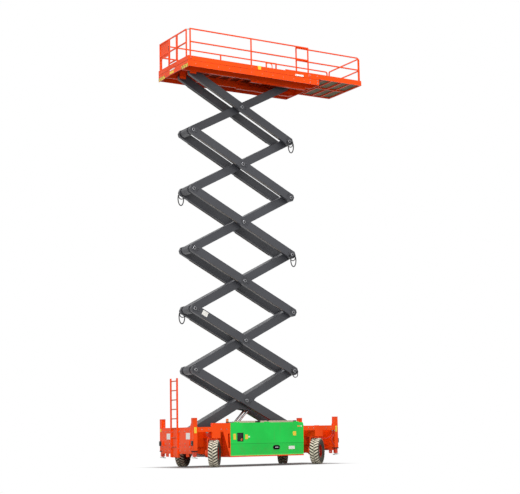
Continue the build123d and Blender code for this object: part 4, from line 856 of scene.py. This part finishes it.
# ---- Tray on the near housing ----
# A tread-plate step for servicing the arms, edged with a pale pink and black gripping strip, with two rubber
# wheel chocks lying in it.
strip = Finish("grip_strip")
patch = strip.noise(2.2, 3.0, (1.0, 0.2, 0.2)).ramp(0.52, 0.56)
speckle = strip.noise(60.0, 2.0).ramp(0.45, 0.6)
tone = strip.mix(speckle * 0.6, linear(214, 180, 172), linear(158, 128, 122))
tone = strip.mix(patch, tone, linear(32, 28, 28))
grip = strip.surface(Base_Color=tone, Roughness=0.85,
                     Normal=strip.bump(strip.noise(300.0), 0.0008, 0.7))
piece("grip_strip", "chassis", grip,
      [block((-1.9545, -1.1005, 1.3865), (0.3955, -1.1030, 1.4450), 0.001, 0.0008),
       block((-1.9545, -1.1010, 1.4211), (0.3955, -1.0880, 1.4450), 0.001, 0.0008)])
chocks = [block((x, -1.06, 1.4035), (x + 0.30, -0.90, 1.4440), 0.02, 0.008) for x in (-1.84, -0.05)]
piece("wheel_chocks", "chassis", black_moulding, chocks)

# ---- Bolts, caps and gussets of the chassis frame ----
# Hexagon bolts hold the end panels and the side beams. Each jack post has a cap plate, and a gusset on its
# inner side where it meets the end plate. The kingpins have greased cover plates, but for the one under the
# valve box.
RIM_Y, RIM_Z = 0.04, 0.035
EAST_END_X = 2.0105
WEDGE = np.array(((0, 0), (0.15, 0), (0.13, 0.05), (0.03, 0.19), (0, 0.20)))
spots = []
for z0, z1 in ((0.720, 1.180), (0.500, 0.690)):
    for y0, y1 in ((-0.985, -0.240), (0.420, 0.985)):
        spots += [(END_X, y, z) for y in (y0 + RIM_Y, (y0 + y1) / 2, y1 - RIM_Y)
                  for z in (z0 + RIM_Z, z1 - RIM_Z)]
frame_bolts = bolts_at(spots, (-1, 0, 0), 0.024, 0.012)
spots = [(EAST_END_X, y, z) for y in (-0.93, -0.55, -0.15, 0.15, 0.55, 0.93) for z in (0.60, 1.16)]
frame_bolts += bolts_at(spots, (1, 0, 0), 0.024, 0.012)
for side in (-1, 1):
    spots = [(x, side * 1.207, 1.187) for x in (-3.20, -2.95, -2.50, -2.30, 0.80, 1.00, 1.50, 1.70)]
    frame_bolts += bolts_at(spots, (0, side, 0), 0.022, 0.011)
piece("frame_bolts", "chassis", zinc, frame_bolts)

fitting_orange = Enamel("fitting_orange", ORANGE, ORANGE_WORN).surface(Specular_IOR_Level=ORANGE_GLOSS)
fittings = []
for x, out in ((-3.4095, -1), (1.9405, 1)):
    for side in (-1, 1):
        y = side * 1.092
        fittings.append(block((x - 0.076, y - 0.076, 1.5432), (x + 0.076, y + 0.076, 1.553), 0.008, 0.002))
        # Gusset: the wedge's outline, up the inner side of the post, given its thickness.
        across, height = side * (1.0215 - WEDGE[:, 0]), 1.2645 + WEDGE[:, 1]
        fittings.append(np.array([np.stack((np.full(len(WEDGE), x + out * 0.02 + lift), across, height), -1)
                                  for lift in (-0.015, 0.015)]))
for corner, (centre, out) in wheel_places.items():
    if corner != "ladder_near":
        fittings.append(turned(((0, 0.085), (0.008, 0.085), (0.010, 0.080)), (*centre[:2], 1.2642), UP, 28))
piece("post_caps_and_gussets", "chassis", fitting_orange, fittings, 25)

# ---- Weld beads ----
# Rippled fillet welds along the seams of the frame.
def bead(start, end, radius=0.007, ripple=0.012):
    """Half-hidden rod from start to end whose radius swells a little every ripple."""
    start, end = np.array(start, float), np.array(end, float)
    length = np.linalg.norm(end - start)
    count = min(max(int(length / ripple), 3), 220)
    height = np.linspace(0, length, count)
    radius = radius * (1 + 0.16 * np.cos(np.arange(count) * pi))
    return turned(np.stack((height, radius), -1), start, end - start, 8)


beads = []
for side in (-1, 1):
    for x in (-3.4795, EAST_END_X):
        beads.append(bead((x, side * 1.022, 0.535), (x, side * 1.022, 1.262)))
    for x0, x1 in ((-3.335, -2.815), (0.61, 1.080), (1.346, 1.865)):
        beads.append(bead((x0, side * 1.077, 1.110), (x1, side * 1.077, 1.110)))
    beads.append(bead((-2.163, side * 1.205, 0.3365), (0.599, side * 1.205, 0.3365), 0.005))
piece("frame_welds", "chassis", fitting_orange, beads, 60)

# ---- Ladder grips and brackets ----
# Dull orange sleeves on the rungs, caps on the rails, and bolted straps that hold the ladder to the end
# plate.
RUNG_COUNT, RUNG_STEP, TOP_RUNG_Z = 8, 0.3, 2.75
LADDER_RAILS = (-0.130, 0.310)
SLEEVE = ((0, 0.0155), (0.003, 0.0175), (0.337, 0.0175), (0.340, 0.0155))
grips = [turned(SLEEVE, (-3.5025, -0.080, TOP_RUNG_Z - RUNG_STEP * rung), (0, 1, 0), 16)
         for rung in range(RUNG_COUNT)]
piece("rung_grips", "chassis", moulding("rung_grip", linear(196, 80, 40), 0.7), grips)
caps = [block((-3.5255, y - 0.023, 2.8302), (-3.4795, y + 0.023, 2.842), 0.008, 0.003) for y in LADDER_RAILS]
straps, strap_bolts = [], []
for y in LADDER_RAILS:
    for z in (0.60, 1.13):
        for y0, y1 in ((y - 0.075, y - 0.025), (y + 0.025, y + 0.075)):
            straps.append(block((-3.4797, y0, z - 0.03), (END_X, y1, z + 0.03), 0.004, 0.0015))
        strap_bolts += bolts_at([(END_X, y - 0.052, z), (END_X, y + 0.052, z)], (-1, 0, 0), 0.020, 0.010)
piece("ladder_fittings", "chassis", fitting_orange, caps + straps)
piece("ladder_bolts", "chassis", zinc, strap_bolts)

# ---- Hydraulic hoses of the chassis ----
# Red rubber hoses hang from the side beams: two loops over each ladder-end wheel, one down behind each
# drive-end jack post and one in above the drive-end wheel. Hexagon unions clamp their upper ends.
def tube(points, radius, sides=12):
    """Round tube along a path: the corners are cut in four rounds, then a circle is carried along it, square
    to the path at each point."""
    path = np.array(points, float)
    for _ in range(4):
        cut = np.stack((path[:-1] * 0.75 + path[1:] * 0.25, path[:-1] * 0.25 + path[1:] * 0.75), 1)
        path = np.vstack((path[:1], cut.reshape(-1, 3), path[-1:]))
    step = np.gradient(path, axis=0)
    step /= np.linalg.norm(step, axis=1)[:, None]
    first = np.cross(step, (0.23, 0.41, 0.88))
    first /= np.linalg.norm(first, axis=1)[:, None]
    second = np.cross(step, first)
    angle = np.linspace(0, 2 * pi, sides, endpoint=False)
    ring = np.cos(angle)[:, None] * first[:, None] + np.sin(angle)[:, None] * second[:, None]
    return path[:, None] + radius * ring


hose_red = moulding("red_hose", linear(196, 44, 30), 0.5)
hose_black = moulding("black_hose", linear(26, 26, 28), 0.55)
for hand, side in (("near", -1), ("far", 1)):
    loops = []
    for lift, x0 in ((0.0, -3.02), (0.035, -2.97)):
        loops.append(tube([(x0, side * 1.165, 1.111), (x0, side * 1.165, 0.99 - lift),
                           (x0 + 0.10, side * 1.150, 0.965 - lift), (x0 + 0.16, side * 1.120, 1.05 - lift),
                           (x0 + 0.17, side * 1.10, 1.111)], 0.014))
    loops.append(tube([(1.865, side * 1.165, 1.112), (1.84, side * 1.17, 0.95), (1.72, side * 1.17, 0.82),
                       (1.80, side * 1.17, 0.66), (1.866, side * 1.16, 0.60)], 0.014))
    loops.append(tube([(1.30, side * 1.180, 0.885), (1.45, side * 1.185, 0.83), (1.62, side * 1.185, 0.86),
                       (1.76, side * 1.17, 0.95), (1.78, side * 1.165, 1.112)], 0.012))
    piece(f"chassis_hoses_{hand}", "chassis", hose_red, loops)
    unions = [turned(((0, 0.020), (0.035, 0.020), (0.040, 0.016)), (x, side * 1.165, z), (0, 0, -1), 6)
              for x, z in ((-3.02, 1.111), (-2.97, 1.111), (1.865, 1.112), (1.78, 1.112))]
    piece(f"hose_unions_{hand}", "chassis", zinc, unions)

# ---- Rubber buffers ----
# Moulded rubber blocks bolted to the outer faces of the jack posts, which meet a wall before the steel does.
# The bolt heads lie almost flush.
buffers, buffer_bolts = [], []
for side in (-1, 1):
    for face, outer, away in ((-3.4796, -3.5215, -1), (2.0106, 2.0525, 1)):
        buffers.append(block((face, side * 1.050, 0.690), (outer, side * 1.150, 0.840), 0.012, 0.008))
        spots = [(outer, side * 1.100, z) for z in (0.725, 0.805)]
        buffer_bolts += bolts_at(spots, (away, 0, 0), 0.016, 0.0004)
piece("post_buffers", "chassis", black_moulding, buffers)
piece("buffer_bolts", "chassis", zinc, buffer_bolts)

# ---- Pins, keepers and edges of the scissor arms ----
# Each pin has a machined face ring round a pressed black cap; a keeper plate with two bolts holds it beside
# its head on the outer arm. Grease nipples stand above the pins, and a slim conduit is clipped under the
# outer arms.
ARM_LENGTH = hypot(SPAN, RISE)
ARM_MIDDLE = ARM_LENGTH / 2
OUTER_FACE = 0.4252
PIN_FACE, BRACKET_PIN_FACE = 0.4411, 0.3075
CONDUIT_LANE = 0.4115
ALONG_INNER = np.array((cos(ARM_ANGLE), 0, sin(ARM_ANGLE)))
UP_INNER = np.array((-sin(ARM_ANGLE), 0, cos(ARM_ANGLE)))
ALONG_OUTER = np.array((cos(ARM_ANGLE), 0, -sin(ARM_ANGLE)))
UP_OUTER = np.array((sin(ARM_ANGLE), 0, cos(ARM_ANGLE)))


def on_inner(section, along, up, y):
    """Point of the inner arm of a section: along it from its low fixed end, above its middle line."""
    return np.array((FIXED_X, y, BASE_Z + RISE * (section - 1))) + along * ALONG_INNER + up * UP_INNER


def on_outer(section, along, up, y):
    """Point of the outer arms of a section: along them from their high fixed end, above their middle line."""
    return np.array((FIXED_X, y, BASE_Z + RISE * section)) + along * ALONG_OUTER + up * UP_OUTER


def pin_faces(section):
    """Foot and direction of each pin's end on the inner arm of a section: all but the deck rollers' pin."""
    for side in (-1, 1):
        for along in (0, ARM_MIDDLE, ARM_LENGTH):
            if section == 6 and along == ARM_LENGTH:
                continue
            face = BRACKET_PIN_FACE if section == 1 and along == 0 else PIN_FACE
            yield on_inner(section, along, 0, side * face), (0, side, 0)


def keeper(section, side, along, turn):
    """Keeper plate of the outer arm's pin at along, on the side that turn points to, then what is small
    beside it: two bolts, and the pin's grease nipple."""
    spot = on_outer(section, along + turn * 0.135, 0.030, side * OUTER_FACE)
    plate = slab(spot, ALONG_OUTER * -side, UP_OUTER, (0.045, 0.110), 0.010, 0.006, 0.002)
    raised = spot + np.array((0, side * 0.010, 0))
    bolts = bolts_at([raised - UP_OUTER * 0.036, raised + UP_OUTER * 0.036], (0, side, 0), 0.020, 0.010)
    nipple = turned(((0, 0.006), (0.010, 0.006), (0.014, 0.003), (0.018, 0.004)),
                    on_outer(section, along + turn * 0.045, 0.1395, side * 0.365), UP_OUTER, 8)
    return plate, bolts + [nipple]


def conduit(section, side, start, stop):
    """Conduit under the outer arm from start to stop, then its three clips."""
    foot = on_outer(section, start, -0.1485, side * CONDUIT_LANE)
    clips = [slab(on_outer(section, start + share * (stop - start), -0.1392, side * CONDUIT_LANE),
                  ALONG_OUTER, (0, 1, 0), (0.030, 0.026), 0.020, 0.004, 0.001) for share in (0.12, 0.5, 0.88)]
    return turned(((0, 0.009), (stop - start, 0.009)), foot, ALONG_OUTER, 10), clips


conduit_finish = plain_metal("conduit_alloy", linear(150, 142, 132), linear(112, 104, 96), 0.45, 0.5)
keeper_grey = plain_metal("keeper_steel", linear(74, 75, 80), linear(56, 56, 60), 0.5, 0.2)
for section in SECTIONS:
    ends = list(pin_faces(section))
    rings = [turned(((0, 0.050), (0.003, 0.050), (0.005, 0.047)), spot, out, 32) for spot, out in ends]
    caps = [turned(((0.0045, 0.039), (0.0056, 0.039), (0.0062, 0.035), (0.0064, 0.004)), spot, out, 28)
            for spot, out in ends]
    # The chassis rollers' pin and the deck brackets' pin have no keepers, and the lowest arms carry conduit
    # on one half only.
    pins = [(0.0, 1), (ARM_MIDDLE, 1), (ARM_LENGTH, -1)]
    runs = [(0.34, ARM_MIDDLE - 0.22), (ARM_MIDDLE + 0.22, ARM_LENGTH - 0.40)]
    if section == 1:
        pins, runs = pins[:2], runs[:1]
    if section == 6:
        pins = pins[1:]
    keepers, fasteners, conduits = [], [], []
    for side in (-1, 1):
        for along, turn in pins:
            plate, bolts = keeper(section, side, along, turn)
            keepers.append(plate)
            fasteners += bolts
        for start, stop in runs:
            pipe, clips = conduit(section, side, start, stop)
            conduits.append(pipe)
            fasteners += clips
    piece(f"pin_rings_{section}", f"inner_{section}", bright_steel, rings)
    piece(f"pin_caps_{section}", f"inner_{section}", black_moulding, caps)
    piece(f"pin_keepers_{section}", f"outer_{section}", keeper_grey, keepers)
    piece(f"keeper_bolts_{section}", f"outer_{section}", keeper_grey, fasteners)
    piece(f"arm_conduits_{section}", f"outer_{section}", conduit_finish, conduits)

# Long hose loops stand beside the joints of the outer arms, where the hoses cross from one section to the
# next, each end carried by a stud.
LOOP_HALF_WIDTH, LOOP_HALF_HEIGHT, LOOP_DROP, LOOP_LANE = 0.105, 0.225, 0.20, 0.4990
# Level of the joint, place along the machine, side, and the section that carries the loop.
HOSE_LOOPS = ((3, SLIDING_X, -1, 4), (5, SLIDING_X, -1, 6), (2, FIXED_X, 1, 2), (4, FIXED_X, 1, 4))
turn = np.linspace(radians(145), radians(395), 22)[:, None]
for level, end_x, side, section in HOSE_LOOPS:
    path = np.hstack((end_x + np.cos(turn) * LOOP_HALF_WIDTH, np.full_like(turn, side * LOOP_LANE),
                      BASE_Z + RISE * level + np.sin(turn) * LOOP_HALF_HEIGHT - LOOP_DROP))
    studs = [turned(((0, 0.009), (LOOP_LANE - OUTER_FACE, 0.009)), (end[0], side * OUTER_FACE, end[2]),
                    (0, side, 0), 10) for end in (path[0], path[-1])]
    piece(f"hose_loop_{level}", f"outer_{section}", hose_black, [tube(path, 0.018)] + studs,
          60)

# Weld beads run along the top seams of the inner box arms, clear of the bosses.
for section in SECTIONS:
    seams = [bead(on_inner(section, start, 0.134, side * 0.196), on_inner(section, stop, 0.134, side * 0.196),
                  0.006, 0.02)
             for side in (-1, 1)
             for start, stop in ((0.22, ARM_MIDDLE - 0.16), (ARM_MIDDLE + 0.16, ARM_LENGTH - 0.22))]
    piece(f"arm_seams_{section}", f"inner_{section}", keeper_grey, seams, 60)

# Blank white plate on the near arm of the second section.
plate = slab(on_outer(2, 0.40, 0.030, -0.4251), ALONG_OUTER, UP_OUTER, (0.215, 0.155), 0.003, 0.008)
piece("arm_plate_near", "outer_2", white_plate, [plate])

# ---- Lift cylinder fittings ----
# A steel feed pipe runs in three saddles along the top of each barrel, with a port block at both ends.
LIFT_FOOT = np.array((-2.2045, 0, 0.450))
LIFT_HEAD = np.array((-0.8045, 0, 1.8694))
LIFT_DIRECTION = unit(LIFT_HEAD - LIFT_FOOT)
LIFT_UP = np.array((-LIFT_DIRECTION[2], 0, LIFT_DIRECTION[0]))
# The pipe's path: along the barrel from its foot, and above its middle line.
PIPE_PATH = ((0.20, 0.056), (0.20, 0.080), (0.24, 0.080), (1.18, 0.080), (1.235, 0.080), (1.235, 0.060))
# Along, lift, size, height and corner radius of the saddles and port blocks.
BARREL_BLOCKS = [(along, 0.055, (0.03, 0.04), 0.036, 0.008) for along in (0.45, 0.72, 0.98)]
BARREL_BLOCKS += [(along, 0.052, (0.05, 0.05), 0.016, 0.006) for along in (0.20, 1.235)]
pipes, blocks = [], []
for y in (-0.125, 0.125):
    foot = LIFT_FOOT + np.array((0, y, 0))
    pipes.append(tube([foot + along * LIFT_DIRECTION + lift * LIFT_UP for along, lift in PIPE_PATH], 0.009))
    for along, lift, size, height, corner in BARREL_BLOCKS:
        blocks.append(slab(foot + along * LIFT_DIRECTION + lift * LIFT_UP, LIFT_DIRECTION, (0, 1, 0), size,
                           height, corner, 0.002))
piece("lift_pipes", "lift_barrel", conduit_finish, pipes)
piece("lift_saddles", "lift_barrel", black_moulding, blocks)

# ---- Platform fittings ----
# Sockets with clamp screws hold the guard-rail posts, striped warning strips cover the end blocks, and blank
# plates mark the end beam and the near side.
DECK_SIDE = 1.0722
DECK_END = -3.4877
SOCKET_FACE = 1.0805
sockets, socket_bolts = [], []
for side in (-1, 1):
    out = (0, side, 0)
    for x in (-3.3875, -1.0545, 1.2455):
        sockets.append(block((x - 0.032, side * 1.0725, 13.232), (x + 0.032, side * SOCKET_FACE, 13.338),
                             0.003, 0.002))
        sockets.append(block((x - 0.016, side * 1.0725, 12.990), (x + 0.016, side * 1.0765, 13.232),
                             0.003, 0.0015))
        socket_bolts += bolts_at([(x, side * SOCKET_FACE, z) for z in (13.260, 13.310)], out, 0.022, 0.011)
    spots = [(x, side * DECK_SIDE, z) for x in (1.30, 1.60) for z in (13.05, 13.15, 13.30)]
    socket_bolts += bolts_at(spots, out, 0.026, 0.010)
    spots = [(x, side * DECK_SIDE, 13.085) for x in np.arange(-3.2, 1.1, 0.425)]
    socket_bolts += bolts_at(spots, out, 0.016, 0.007)
spots = [(DECK_END, y, 13.10) for y in (-0.88, -0.45, 0.0, 0.45, 0.88)]
socket_bolts += bolts_at(spots, (-1, 0, 0), 0.018, 0.008)
piece("rail_sockets", "platform", fitting_orange, sockets)
piece("socket_bolts", "platform", zinc, socket_bolts)

STRIPE_PITCH = 0.13
stripes = Finish("warning_stripes")
band = ((stripes.y + stripes.z * 0.9) * (1 / STRIPE_PITCH)).fraction() > 0.38
worn_patch = stripes.noise(30.0, 4.0).ramp(0.62, 0.7)
tone = stripes.mix(band, linear(28, 26, 24), linear(255, 216, 62))
tone = stripes.mix(worn_patch * 0.5, tone, linear(190, 150, 110))
striped = stripes.surface(Base_Color=tone, Roughness=0.45)
strips = [block((-3.4876, side * 0.600, 12.966), (-3.4896, side * 1.066, 13.080), 0.0015, 0.0008)
          for side in (-1, 1)]
piece("striped_strips", "platform", striped, strips)
plates("deck_plates_yellow", "platform", yellow_plate, [(DECK_END, 0.10, 13.055, 0.30, 0.085)], WEST)
plates("deck_plates_pale", "platform", white_plate, [(DECK_END, 0.06, 13.145, 0.34, 0.045)], WEST)
TOE_FACE = -1.0723
plates("toe_plates_yellow_near", "platform", yellow_plate, [(-0.75, TOE_FACE, 13.285, 0.125, 0.125)], NEAR)
plates("toe_plates_white_near", "platform", white_plate, [(0.86, TOE_FACE, 13.235, 0.34, 0.065)], NEAR)

# A black link joins the end frame to each side frame at the top, a bent bar stands behind the near toe board,
# and a bolt and a grab handle close the gate.
links = [tube([(-3.4575, side * 1.000, 14.235), (-3.452, side * 1.030, 14.240),
               (-3.405, side * 1.042, 14.235)], 0.010) for side in (-1, 1)]
piece("rail_links", "platform", black_moulding, links)
bracket = tube([(-0.46, -1.042, 13.335), (-0.46, -1.042, 13.505), (-0.23, -1.042, 13.505),
                (-0.23, -1.042, 13.335)], 0.015)
piece("toe_bracket", "platform", fitting_orange, [bracket])
handle = tube([(-3.468, 0.285, 13.86), (-3.50, 0.285, 13.86), (-3.50, 0.285, 14.02), (-3.468, 0.285, 14.02)],
              0.008)
piece("gate_handle", "gate", black_moulding, [handle])
latch = [block((-3.4395, 0.262, 13.835), (-3.4315, 0.318, 13.885), 0.004, 0.002),
         turned(((0, 0.007), (0.058, 0.007), (0.060, 0.005)), (-3.4455, 0.262, 13.860), (0, 1, 0), 12)]
piece("gate_latch", "gate", zinc, latch)

# Under the deck, a cable tray carries two black cables.
tray = block((-3.30, 0.57, 13.165), (1.50, 0.66, 13.171), 0.002, 0.001)
piece("cable_tray", "platform", keeper_grey, [tray])
cables = [turned(((0, 0.010), (4.70, 0.010)), (-3.25, y, 13.154), (1, 0, 0), 10) for y in (0.60, 0.63)]
piece("tray_cables", "platform", hose_black, cables)

# ---- Extension fittings ----
# Cross ribs under the sliding floor, bolted feet under its guard rails, and a foot pedal that locks it.
ribs = [block((x - 0.018, side * 0.024, 13.2355), (x + 0.018, side * 0.970, 13.2758), 0.002, 0.001)
        for x in (0.7205, 1.5095, 2.2985, 3.0875) for side in (-1, 1)]
piece("extension_ribs", "extension", fitting_orange, ribs)
FOOT_Y, FOOT_TOP_Z = 0.985, 13.296
feet, feet_bolts = [], []
for side in (-1, 1):
    y = side * FOOT_Y
    for x in (0.7955, 3.4335):
        feet.append(block((x - 0.045, y - 0.019, 13.2822), (x + 0.045, y + 0.019, FOOT_TOP_Z), 0.003, 0.002))
        feet_bolts += bolts_at([(x - 0.032, y, FOOT_TOP_Z), (x + 0.032, y, FOOT_TOP_Z)], UP, 0.014, 0.007)
piece("extension_feet", "extension", fitting_orange, feet)
piece("extension_bolts", "extension", zinc, feet_bolts)
pedal = [slab((3.30, 0.30, 13.300), (1, 0, 0.12), (0, 1, 0), (0.12, 0.07), 0.008, 0.012, 0.002),
         turned(((0, 0.009), (0.10, 0.009)), (3.25, 0.25, 13.2955), (0, 1, 0), 10)]
piece("lock_pedal", "extension", black_moulding, pedal)

# ---- Beacon ring and engine fittings ----
# A black ring clamps the amber lens. The engine carries a cast rocker cover, a grooved pulley and an exhaust
# pipe.
ring = turned(((0, 0.0422), (0, 0.0490), (0.010, 0.0490), (0.012, 0.0455), (0.012, 0.0422)),
              (-2.1035, -0.900, 1.4091), UP, 32)
piece("beacon_ring", "chassis", black_moulding, [ring])
low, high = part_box("engine_block")
x, y = (low[0] + high[0]) / 2, (low[1] + high[1]) / 2
top = high[2]
cover = block((low[0] + 0.12, y - 0.09, top), (high[0] - 0.16, y + 0.09, top + 0.075), 0.03, 0.02)
pulley = turned(((0, 0.085), (0.03, 0.085), (0.035, 0.078), (0.045, 0.085), (0.075, 0.085)),
                (high[0] + 0.002, y, low[2] + 0.22), (1, 0, 0), 32)
piece("engine_castings", "chassis", engine_finish, [cover, pulley])
exhaust = tube([(x + 0.20, y, top + 0.06), (x + 0.20, y, top + 0.14), (x + 0.20, y + 0.02, top + 0.17),
                (x - 0.30, y + 0.03, top + 0.17)], 0.026)
piece("exhaust_pipe", "chassis", conduit_finish, [exhaust])

{"cad": cad_box, "visual": [list(corner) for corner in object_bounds()]}
